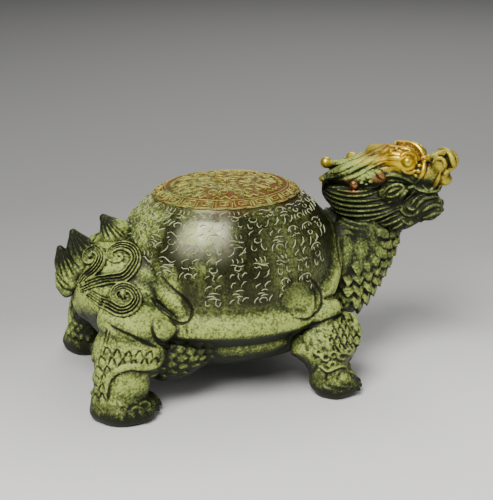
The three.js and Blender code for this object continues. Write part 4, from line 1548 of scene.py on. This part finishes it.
@dataclass
class Wear:
    """Marks on each vertex that the finish reads: crevices, painted shade of sheltered and downward-facing places,
    darker metal mixed with painted shade, gilding, copper, rust, and dark metal with a painted highlight.
    """

    skins: list[Piece]
    shell: Shell
    head: Head
    strokes: Array
    rays: int = 14
    near: float = 2.4
    far: float = 22.0
    off_skin: float = 0.06  # where the rays start
    dirt_reach: float = 1.3  # how far from a stroke the dirt beside it reaches
    ground: float = 150.0  # half size of the ground
    # Rounds of smoothing in all, and how strongly the move since the last count of rounds is weighed.
    softening: tuple[tuple[int, float], ...] = ((3, 9.0), (12, 3.2), (40, 1.2))
    # Round spots on the head, in its own frame, each with its reach: ends of the horns and the ears; lumps.
    gilt_spots: tuple[tuple[Triple, float], ...] = (
        ((-17.3, -6, 6.9), 2.0), ((-11.3, 6, 6.9), 2.0), ((-19, -12, 1.0), 3.0), ((-19, 12, 1.0), 3.0),
    )
    copper_spots: tuple[tuple[Triple, float], ...] = (
        ((-3, -12, 0.5), 2.4), ((8.0, -11.0, 4.2), 2.6), ((-3, 12, 0.5), 2.4), ((8.0, 11.0, 4.2), 2.6),
    )

    def tree(self) -> BVHTree:
        """Returns one ray tree of all skins and the ground."""
        forms, g = Forms(), self.ground
        for obj in self.skins:
            forms.absorb(obj)
        forms.add(np.array([(-g, -g, 0.0), (g, -g, 0.0), (g, g, 0.0), (-g, g, 0.0)]), [(0, 1, 2, 3)])
        return BVHTree.FromPolygons(np.vstack(forms.points).tolist(), forms.faces)

    def fan(self) -> Array:
        """Returns directions spread evenly over the half sphere round +Z."""
        k = np.arange(self.rays) + 0.5
        height = np.sqrt(1 - 0.94 * k / self.rays)
        around = k * math.pi * (3 - math.sqrt(5))
        flat = np.sqrt(1 - height**2)
        return np.stack([flat * np.cos(around), flat * np.sin(around), height], 1)

    def occlusion(self, obj: Piece, tree: BVHTree) -> tuple[Array, Array]:
        """Returns how shut in each vertex is, close by and further off, from 0 to 1."""
        rng = np.random.default_rng(5)
        co, normal = points_of(obj), normals_of(obj)
        helper = np.where(np.abs(normal[:, 2:3]) < 0.9, np.array([[0, 0, 1.0]]), np.array([[1.0, 0, 0]]))
        tx = unit(np.cross(helper, normal))
        ty = np.cross(normal, tx)
        spin = rng.uniform(0, 2 * math.pi, len(co))
        c, s = np.cos(spin)[:, None], np.sin(spin)[:, None]
        tx, ty = tx * c + ty * s, ty * c - tx * s
        near_hits, far_hits = np.zeros(len(co)), np.zeros(len(co))
        start = (co + normal * self.off_skin).tolist()
        cast = tree.ray_cast
        for d in self.fan():
            way = tx * d[0] + ty * d[1] + normal * d[2]
            for i, (a, b) in enumerate(zip(start, way.tolist())):
                dist = cast(a, b, self.far)[3]
                if dist is not None:
                    far_hits[i] += 1 - 0.7 * dist / self.far
                    if dist < self.near:
                        near_hits[i] += 1 - 0.5 * dist / self.near
        return near_hits / self.rays, far_hits / self.rays

    def beside_strokes(self, co: Array) -> Array:
        """Returns how close each place is to a stroke, from 0 to 1."""
        out = np.zeros(len(co))
        for i, _, distance in Cloud(self.strokes).near(co, self.dirt_reach):
            out[i] = max(0.0, 1 - distance / self.dirt_reach)
        return out

    @staticmethod
    def spots(p: Array, places: Iterable[tuple[Triple, float]], soft: float) -> Array:
        """Returns 1 in each of some round spots, and 0 from a soft edge on."""
        return np.maximum.reduce(
            [fall(np.linalg.norm(p - np.array(centre), axis=1), reach, soft) for centre, reach in places]
        )

    def gilding(self, co: Array) -> Array:
        """Returns where the head is gilded: brow, eyes, snout top, horn balls and the tip of the mane."""
        p = self.head.to_head(co)
        x, z = p[:, 0], p[:, 2]
        line = 8.0 - 0.14 * np.clip(x, -20, 40)
        brow = 0.35 * rise(z, line, 3) * rise(x, -10, 10) + 0.6 * rise(z, line, 4) * rise(x, 4, 10)
        brow = brow * (1 - 0.8 * rise(x, 23, 4))
        snout = 0.5 * rise(x, 26, 4) * rise(z, 1, 3)
        return np.maximum.reduce([brow, snout, self.spots(p, self.gilt_spots, 1.6)])

    def copper(self, co: Array) -> Array:
        """Returns where the head is brown copper: the lumps and ears along the lower edge of the crown."""
        return self.spots(self.head.to_head(co), self.copper_spots, 1.4)

    def rust(self, co: Array) -> Array:
        """Returns where the shell is rust brown: the medallion and a little round it."""
        share, edge = self.shell.polar(co)[0], self.shell.medallion
        within = 1 - 0.75 * rise(share, edge - 0.005, 0.01) - 0.25 * rise(share, edge + 0.02, 0.08)
        return within * rise(co[:, 2], 60, 3)

    def amber(self, co: Array) -> Array:
        """Returns where the head glows rusty orange: the hump over the brow."""
        away = (self.head.to_head(co) - np.array([10, 0, 13])) / np.array([14, 12, 6])
        return 0.9 * fall(np.linalg.norm(away, axis=1), 0.7, 0.5)

    def bare_and_highlight(self, co: Array) -> Array:
        """Returns where the shell's wall shows dark metal, and a patch on its right side, valued 2, that is a painted
        highlight of the key light.
        """
        share, a = self.shell.polar(co)
        side, z, dome = np.abs(a), co[:, 2], self.shell.radius(co[:, 2])
        on_dome = rise(share, dome - 0.045, 0.03) * fall(share, dome + 0.03, 0.03)
        wall = rise(z, self.shell.edge(a) + 5.5 + 15 * rise(side, 122, 10), 6) * fall(side, 140, 16)
        wall = wall * (1 - 0.24 * fall(side, 74, 14) * rise(side, 38, 10))
        # Painted highlight: a pale patch where the key light's reflection falls on the shell's right side.
        painted_highlight_patch = rise(a, -140, 16) * fall(a, -108, 16) * rise(z, 49, 11) * fall(z, 69, 4)
        return on_dome * (1 - 0.9 * self.rust(co)) * (wall * (1 - painted_highlight_patch) + 2 * painted_highlight_patch)

    def dark_metal_and_shade(self, co: Array) -> Array:
        """Returns where the colour is darkened: darker metal on the crest and over the skirt, darker towards the ground
        on the feet, and painted shade on the neck, the lower head, the shell over the neck, the belly and by the rear
        legs.
        """
        x, y, z = co.T
        p, (share, a), aside = self.head.to_head(co), self.shell.polar(co), np.abs(y)
        fore = rise(x, 30, 4)
        above = z - np.interp(x, [-61, -57, -52.2, -46.7, -43.2], [34.5, 31.0, 27.8, 26.0, 24.7])
        skirt = rise(above, 0, 0.8) * fall(above, 1.5, 6) * rise(x, -61, 3) * fall(x, -46, 3) * rise(aside, 16, 6)
        front = rise(share, self.shell.radius(z) - 0.045, 0.03) * fall(share, 1.02, 0.03)
        places = [
            2.0 * fall(x, -48, 6) * rise(z, 96 + 0.72 * x, 6),  # crest
            2.0 * fall(z, 1.5, 9.5),  # feet
            0.6 * fore * rise(z, 30, 8),  # painted shade on the neck
            1.1 * fall(p[:, 2] - 0.02 * p[:, 0], -3, 4) * rise(p[:, 2], -24, 4) * fore,  # painted shade on the lower head
            0.8 * skirt,
            0.9 * front * fall(np.abs(a), 50, 16) * rise(z, 33, 5),  # painted shade on the shell over the neck
            1.6 * fall(z, 11, 7) * fall(aside, 19, 6) * fall(np.abs(x + 10), 34, 6),  # painted shade on the belly
            1.1 * rise(x, -47, 4) * fall(x, -24, 8) * fall(z, 23, 5),  # painted shade in front of the rear legs
            1.5 * fall(aside, 21, 6) * fall(z, 23, 6) * fall(x, -46, 6),  # painted shade between the rear legs
        ]
        crown = 1.3 * rise(p[:, 2], 1, 3) * fall(p[:, 0], 6, 6) * fore
        return np.maximum.reduce(places) - crown

    def hollow(self, obj: Piece) -> Array:
        """Returns how hollow the skin is, from -1 on ridges to 1 in grooves, from its fine shape to its coarse one."""
        mesh = obj.data
        co, normal = points_of(obj), normals_of(obj)
        edges = np.empty(len(mesh.edges) * 2, np.int32)
        mesh.edges.foreach_get("vertices", edges)
        a, b = edges[0::2], edges[1::2]
        ends, others = np.concatenate([a, b]), np.concatenate([b, a])
        degree = np.maximum(np.bincount(ends, minlength=len(co)), 1)[:, None]
        soft, last, total, done = co, co, np.zeros(len(co)), 0
        for rounds, weight in self.softening:
            for _ in range(rounds - done):
                soft = np.stack([np.bincount(ends, soft[others, k], len(co)) for k in range(3)], 1) / degree
            total += np.tanh(np.einsum("ij,ij->i", soft - last, normal) * weight)
            last, done = soft, rounds
        return np.clip(total / 1.6, -1, 1)

    def write(self) -> None:
        """Writes the marks onto every skin."""
        tree = self.tree()
        for obj in self.skins:
            co = points_of(obj)
            near, far = self.occlusion(obj, tree)
            near = np.clip(near * 0.9 + self.hollow(obj) * 0.42, -0.3, 1.0)
            if obj.name == "turtle_body":
                near = np.clip(near + 0.5 * self.beside_strokes(co), -0.3, 1.0)
            # Painted shade: the far rays' occlusion and faces turned downwards darken the colour, less on the throat.
            under = np.clip(-normals_of(obj)[:, 2], 0, 1)
            throat = rise(co[:, 0], 30, 4) * rise(co[:, 2], 30, 8)
            far = np.clip(far * (1 - 0.55 * throat) + 1.5 * ease(under * 1.3), 0, 1.6)
            # Marks: crevices of the patina, painted shade, and darker metal mixed with painted shade.
            marks = {"crevice": near, "painted_shade": far, "dark_metal_and_shade": self.dark_metal_and_shade(co)}
            if obj.name == "dragon_head":
                marks |= {"gilding": self.gilding(co), "copper": self.copper(co), "rust": self.amber(co)}
            else:
                marks |= {"rust": self.rust(co), "bare_and_highlight": self.bare_and_highlight(co)}
            for name, values in marks.items():
                write_mark(obj, name, values)


class Value:
    """A number that flows through a node tree, with plain arithmetic on it."""

    def __init__(self, graph: Graph, socket: bpy.types.NodeSocket) -> None:
        """Keeps the tree and the socket that the number comes from."""
        self.graph, self.socket = graph, socket

    def __add__(self, other: Link) -> Value:
        """Returns the sum."""
        return self.graph.math("ADD", self, other)

    def __sub__(self, other: Link) -> Value:
        """Returns the difference."""
        return self.graph.math("SUBTRACT", self, other)

    def __rsub__(self, other: Link) -> Value:
        """Returns the difference from a plain number."""
        return self.graph.math("SUBTRACT", other, self)

    def __mul__(self, other: Link) -> Value:
        """Returns the product."""
        return self.graph.math("MULTIPLY", self, other)

    def span(self, low: float, high: float, to_low: float = 0.0, to_high: float = 1.0) -> Value:
        """Returns the number stretched smoothly from one range to another, and held at its ends."""
        ends = {1: low, 2: high, 3: to_low, 4: to_high}
        return self.graph.out("ShaderNodeMapRange", 0, {0: self, **ends}, interpolation_type="SMOOTHSTEP")


Tint = tuple[float, ...]
Link = Value | bpy.types.NodeSocket | float | Tint


class Graph:
    """Short ways to add nodes to one tree."""

    def __init__(self, tree: bpy.types.NodeTree) -> None:
        """Keeps the tree."""
        self.tree = tree

    def join(self, value: Link, socket: bpy.types.NodeSocket) -> None:
        """Joins a socket to another, or sets its value."""
        if isinstance(value, Value):
            value = value.socket
        if isinstance(value, bpy.types.NodeSocket):
            self.tree.links.new(value, socket)
        else:
            socket.default_value = value

    def put(self, kind: str, inputs: dict[str | int, Link], **settings: object) -> bpy.types.Node:
        """Adds a node.

        Args:
            kind: Its type.
            inputs: What its inputs are joined or set to, by name or number.
            **settings: Its other settings.

        Returns:
            The node.
        """
        node = self.tree.nodes.new(kind)
        for key, value in settings.items():
            setattr(node, key, value)
        for key, value in inputs.items():
            self.join(value, node.inputs[key])
        return node

    def out(self, kind: str, output: str | int, inputs: dict[str | int, Link], **settings: object) -> Value:
        """Adds a node as put does, and returns one of its outputs."""
        return Value(self, self.put(kind, inputs, **settings).outputs[output])

    def math(self, kind: str, a: Link, b: Link, clamp: bool = False) -> Value:
        """Returns the result of a Math node."""
        return self.out("ShaderNodeMath", 0, {0: a, 1: b}, operation=kind, use_clamp=clamp)

    def mix(self, factor: Link, a: Link, b: Link) -> Value:
        """Returns a mix of two colours."""
        return self.out("ShaderNodeMix", 2, {0: factor, 6: a, 7: b}, data_type="RGBA")

    def blend(self, factor: Link, a: Link, b: Link) -> Value:
        """Returns a mix of two numbers."""
        return self.out("ShaderNodeMix", 0, {0: factor, 2: a, 3: b}, data_type="FLOAT")

    def noise(self, vector: Link, scale: float, detail: float, rough: float, distortion: float = 0.0) -> Value:
        """Returns the value of a Noise Texture."""
        inputs = {"Vector": vector, "Scale": scale, "Detail": detail, "Roughness": rough, "Distortion": distortion}
        return self.out("ShaderNodeTexNoise", "Fac", inputs)


def new_material(name: str) -> tuple[bpy.types.Material, Graph, bpy.types.Node]:
    """Returns a new material, its tree and its Principled BSDF."""
    made = bpy.data.materials.new(name)
    made.use_nodes = True
    return made, Graph(made.node_tree), made.node_tree.nodes["Principled BSDF"]


@dataclass(frozen=True)
class Tints:
    """The colours of the old bronze, as linear values."""

    powder: Tint = (0.385, 0.465, 0.108, 1)
    green: Tint = (0.088, 0.110, 0.025, 1)
    # Dark patina of the hollows, also used as painted shade.
    dark: Tint = (0.012, 0.015, 0.004, 1)
    metal: Tint = (0.016, 0.016, 0.007, 1)
    rust: Tint = (0.13, 0.045, 0.003, 1)
    olive: Tint = (0.050, 0.052, 0.012, 1)
    gold: Tint = (0.72, 0.53, 0.035, 1)
    amber: Tint = (0.50, 0.25, 0.004, 1)
    copper: Tint = (0.32, 0.155, 0.055, 1)
    line: Tint = (0.44, 0.44, 0.27, 1)
    # Pale grey of the painted highlight on the shell.
    painted_highlight_grey: Tint = (0.25, 0.245, 0.155, 1)


class Patina:
    """The layers of the finish, built once as a node group and used by every material of the casting."""

    MARKS = ("Crevice", "Painted_shade", "Gilding", "Copper", "Rust", "Bare_and_highlight", "Dark_metal_and_shade")

    def __init__(self, tints: Tints) -> None:
        """Builds the group."""
        self.tints = tints
        self.group = bpy.data.node_groups.new("bronze_layers", "ShaderNodeTree")
        face = self.group.interface
        for name in (*self.MARKS, "Line"):
            face.new_socket(name, in_out="INPUT", socket_type="NodeSocketFloat")
        face.new_socket("Color", in_out="OUTPUT", socket_type="NodeSocketColor")
        for name in ("Roughness", "Metallic", "Height"):
            face.new_socket(name, in_out="OUTPUT", socket_type="NodeSocketFloat")
        self.fill()

    def fill(self) -> None:
        """Puts the nodes into the group: noises, how shut in a place is with its painted shade, where the painted
        highlight lies, then the layers upwards.
        """
        g, t = Graph(self.group), self.tints
        inside = g.put("NodeGroupInput", {}).outputs
        crevice, painted_shade, gilding, copper, rusty, worn, dark_metal_and_shade, lines = (
            Value(g, inside[name]) for name in (*self.MARKS, "Line")
        )
        where = g.out("ShaderNodeTexCoord", "Object", {})
        drawn_out = g.out("ShaderNodeVectorMath", 0, {0: where, 1: (1.0, 1.0, 0.14)}, operation="MULTIPLY")
        blotch = g.noise(where, 60.0, 3.0, 0.6)
        streak = g.noise(drawn_out, 170.0, 3.0, 0.6)
        cloud = g.noise(where, 300.0, 4.0, 0.65, 0.3)
        speck = g.noise(where, 1150.0, 3.0, 0.75)
        grain = g.noise(where, 2600.0, 2.0, 0.6)
        grit = (speck - 0.5) * 3.0 + (cloud - 0.5) * 1.3
        # How shut in a place is: hollows, where the patina is darker, plus painted shade from the sheltered and
        # darkened marks.
        shut = crevice + painted_shade * 0.72 + dark_metal_and_shade * 0.42 + (0.5 - blotch) * 0.5

        # Painted highlight: where the mark goes over 1, a pale grey streaked patch stands in for the key light's
        # reflection.
        painted_highlight = worn.span(1.0, 2.0) * streak.span(0.62, 0.40, 0.35, 1.0)
        bare_and_highlight = g.math("MINIMUM", worn, 1.0) * (blotch + cloud * 0.3).span(0.70, 0.96, 1.0, 0.35)
        bare_and_highlight = g.math("MAXIMUM", bare_and_highlight, painted_highlight)
        # Green powder on open places, thinned in hollows and under painted shade.
        dust = (shut - grit).span(0.22, -0.55) * (1.0 - bare_and_highlight * 0.96)
        rust = rusty * (cloud + blotch * 0.5).span(0.66, 1.0, 1.0, 0.3)
        brown = copper * crevice.span(0.25, -0.05)
        gilt = gilding * (crevice - grit * 0.4).span(0.40, 0.04)

        patches = (blotch * 0.4 + streak * 0.6 + grit * 0.16).span(0.49, 0.64)
        stain = (blotch + (speck - 0.5) * 0.35).span(0.47, 0.60)
        glow = (blotch + (rusty * 0.36 + crevice * 1.1)).span(0.60, 0.76)
        # Green that darkens in hollows as patina and elsewhere as painted shade.
        colour = g.mix((shut - grit * 0.6).span(0.16, 0.62), t.green, t.dark)
        colour = g.mix(bare_and_highlight * 0.9, colour, g.mix(patches, t.metal, t.green))
        # The painted highlight's pale grey.
        colour = g.mix(painted_highlight * 0.8, colour, t.painted_highlight_grey)
        colour = g.mix(dust, colour, t.powder)
        colour = g.mix(rust, colour, g.mix(stain, t.rust, t.olive))
        colour = g.mix(brown, colour, t.copper)
        colour = g.mix(gilt, colour, g.mix(glow, t.gold, t.amber))
        colour = g.mix(lines * cloud.span(0.36, 0.52, 0.15, 1.0), colour, t.line)

        rough, metal = g.blend(bare_and_highlight, 0.52, 0.30), g.blend(bare_and_highlight, 0.30, 0.55)
        for layer, dull, metallic in ((dust, 0.72, 0.05), (rust, 0.7, 0.15), (gilt, 0.30, 0.9), (brown, 0.26, 0.85)):
            rough, metal = g.blend(layer, rough, dull), g.blend(layer, metal, metallic)
        rough = g.math("ADD", rough, (speck - 0.5) * 0.25, clamp=True)
        height = (speck * 0.6 + grain * 0.4) * g.blend(bare_and_highlight, 1.0, 0.35)
        g.put("NodeGroupOutput", {"Color": colour, "Roughness": rough, "Metallic": metal, "Height": height})

    def material(self, name: str, line: float = 0.0) -> bpy.types.Material:
        """Makes a material of the casting.

        Args:
            name: Its name.
            line: How much the worn colour of raised lines shows.

        Returns:
            The material.
        """
        made, g, shader = new_material(name)
        layers = g.put("ShaderNodeGroup", {}, node_tree=self.group)
        for mark in self.MARKS:
            read = g.out("ShaderNodeAttribute", "Fac", {}, attribute_type="GEOMETRY", attribute_name=mark.lower())
            g.join(read, layers.inputs[mark])
        layers.inputs["Line"].default_value = line
        shader.inputs["Specular IOR Level"].default_value = 0.3
        g.join(layers.outputs["Color"], shader.inputs["Base Color"])
        for socket in ("Roughness", "Metallic"):
            g.join(layers.outputs[socket], shader.inputs[socket])
        bump = g.put("ShaderNodeBump", {"Height": layers.outputs["Height"], "Strength": 0.55, "Distance": 0.00022})
        g.join(bump.outputs["Normal"], shader.inputs["Normal"])
        return made


@dataclass(frozen=True)
class Studio:
    """The pale floor with a grey fall-off painted into its colour as painted shade, and the soft lights. Sizes are in
    metres.
    """

    floor_radius: float = 4.0
    aim: tuple[float, float, float] = (0, 0, 0.04)
    # Place along the painted shade of the fall-off, and tone of the paper there.
    painted_shade_tones: Line = ((0.0, 1.0), (0.11, 0.87), (0.22, 0.39), (0.33, 0.29), (0.70, 0.24), (1.0, 0.215))

    def paper(self) -> bpy.types.Material:
        """Returns studio paper whose colour is painted darker behind the figure, as painted shade of the light's
        fall-off.
        """
        made, g, shader = new_material("studio_paper")
        shader.inputs["Roughness"].default_value = 0.7
        where = g.out("ShaderNodeTexCoord", "Object", {})
        turn = g.out("ShaderNodeMapping", "Vector", {"Vector": where, "Rotation": (0, 0, math.radians(17))})
        split = g.put("ShaderNodeSeparateXYZ", {0: turn}).outputs
        behind = Value(g, split["X"]) * -0.38 + split["Y"]
        reach = g.out("ShaderNodeMapRange", "Result", {"Value": behind, "From Min": -0.25, "From Max": 1.25})
        ramp = g.put("ShaderNodeValToRGB", {"Fac": reach})
        for at, _ in self.painted_shade_tones[2:]:
            ramp.color_ramp.elements.new(at)
        for stop, (at, tone) in zip(ramp.color_ramp.elements, self.painted_shade_tones):
            stop.position = at
            stop.color = (tone, tone * 0.985, tone * 0.95, 1)
        g.join(ramp.outputs["Color"], shader.inputs["Base Color"])
        return made

    def floor(self) -> None:
        """Makes the round floor."""
        deselect()
        bpy.ops.mesh.primitive_circle_add(vertices=96, radius=self.floor_radius, fill_type="NGON", location=(0, 0, 0))
        obj = bpy.context.active_object
        obj.name = "studio_floor"
        obj.data.materials.append(self.paper())
        obj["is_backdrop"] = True

    def lamp(self, name: str, place: Triple, size: float, power: float) -> None:
        """Adds one soft square light that looks at the figure."""
        data = bpy.data.lights.new(name, "AREA")
        data.size, data.energy = size, power
        lamp = bpy.data.objects.new(name, data)
        lamp.location = place
        lamp.rotation_mode = "QUATERNION"
        lamp.rotation_quaternion = (Vector(place) - Vector(self.aim)).to_track_quat("Z", "Y")
        bpy.context.scene.collection.objects.link(lamp)

    def build(self) -> None:
        """Makes the floor, lights and world."""
        self.floor()
        self.lamp("key_softbox", (-0.33, -0.37, 0.72), 0.45, 10.2)
        self.lamp("fill_softbox", (0.75, -0.65, 0.45), 0.7, 1.8)
        self.lamp("back_softbox", (0.38, 0.70, 0.80), 0.7, 4.4)
        world = bpy.data.worlds.new("studio_air")
        world.use_nodes = True
        air = world.node_tree.nodes["Background"].inputs
        air["Color"].default_value = (0.75, 0.76, 0.78, 1)
        air["Strength"].default_value = 0.22
        bpy.context.scene.world = world


def settle(obj: Piece, low: Array, high: Array) -> None:
    """Moves a skin from the carver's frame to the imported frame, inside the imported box, in metres."""
    set_points(obj, np.clip((points_of(obj) + CENTRE_SHIFT) * MM, low, high))


def thin(obj: Piece, most: int) -> None:
    """Thins a skin to at most this many triangles, and makes it all triangles."""
    apply_modifier(obj, "TRIANGULATE", quad_method="BEAUTY")
    count = len(obj.data.polygons)
    if count > most:
        apply_modifier(obj, "DECIMATE", ratio=most / count)


def finish_piece(obj: Piece, material: bpy.types.Material) -> None:
    """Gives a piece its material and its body."""
    obj.data.materials.clear()
    obj.data.materials.append(material)
    obj.data.shade_smooth()
    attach(obj, BODY)
    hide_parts(NODE)
    LOG.info("%s: %d faces", obj.name, len(obj.data.polygons))


def main() -> None:
    """Builds every sub-assembly in order."""
    logging.basicConfig(level=logging.INFO, format="%(message)s")
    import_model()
    cad_low, cad_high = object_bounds()
    view, shell = PhotoView(), Shell()
    body = Torso(view=view, shell=shell).build()
    crest = Tail(view=view).build()
    head_maker = Head(view=view)
    head = head_maker.build()
    lines = ShellLines(shell=shell)
    strokes = lines.columns_of_strokes().to_object("shell_strokes")
    medallion = lines.border()
    lines.rosette(medallion)
    border = medallion.to_object("medallion_lines")
    for skin, most in ((body, 195000), (crest, 120000), (head, 160000)):
        thin(skin, most)
    drawn, rays = np.vstack(lines.drawn), 14
    Wear(skins=[body, crest, head], shell=shell, head=head_maker, strokes=drawn, rays=rays).write()
    # A little painted shade on the strokes and the border.
    for piece in (strokes, border):
        write_mark(piece, "painted_shade", 0.1)
    write_mark(border, "gilding", 0.36)
    patina = Patina(Tints())
    bronze = patina.material("patinated_bronze")
    worn, gilt = patina.material("worn_strokes", 0.85), patina.material("gilt_fret", 0.2)
    for piece, material in ((body, bronze), (crest, bronze), (head, bronze), (strokes, worn), (border, gilt)):
        settle(piece, np.array(cad_low), np.array(cad_high))
        finish_piece(piece, material)
    Studio().build()
    view.make_camera()


if __name__ == "__main__":
    main()
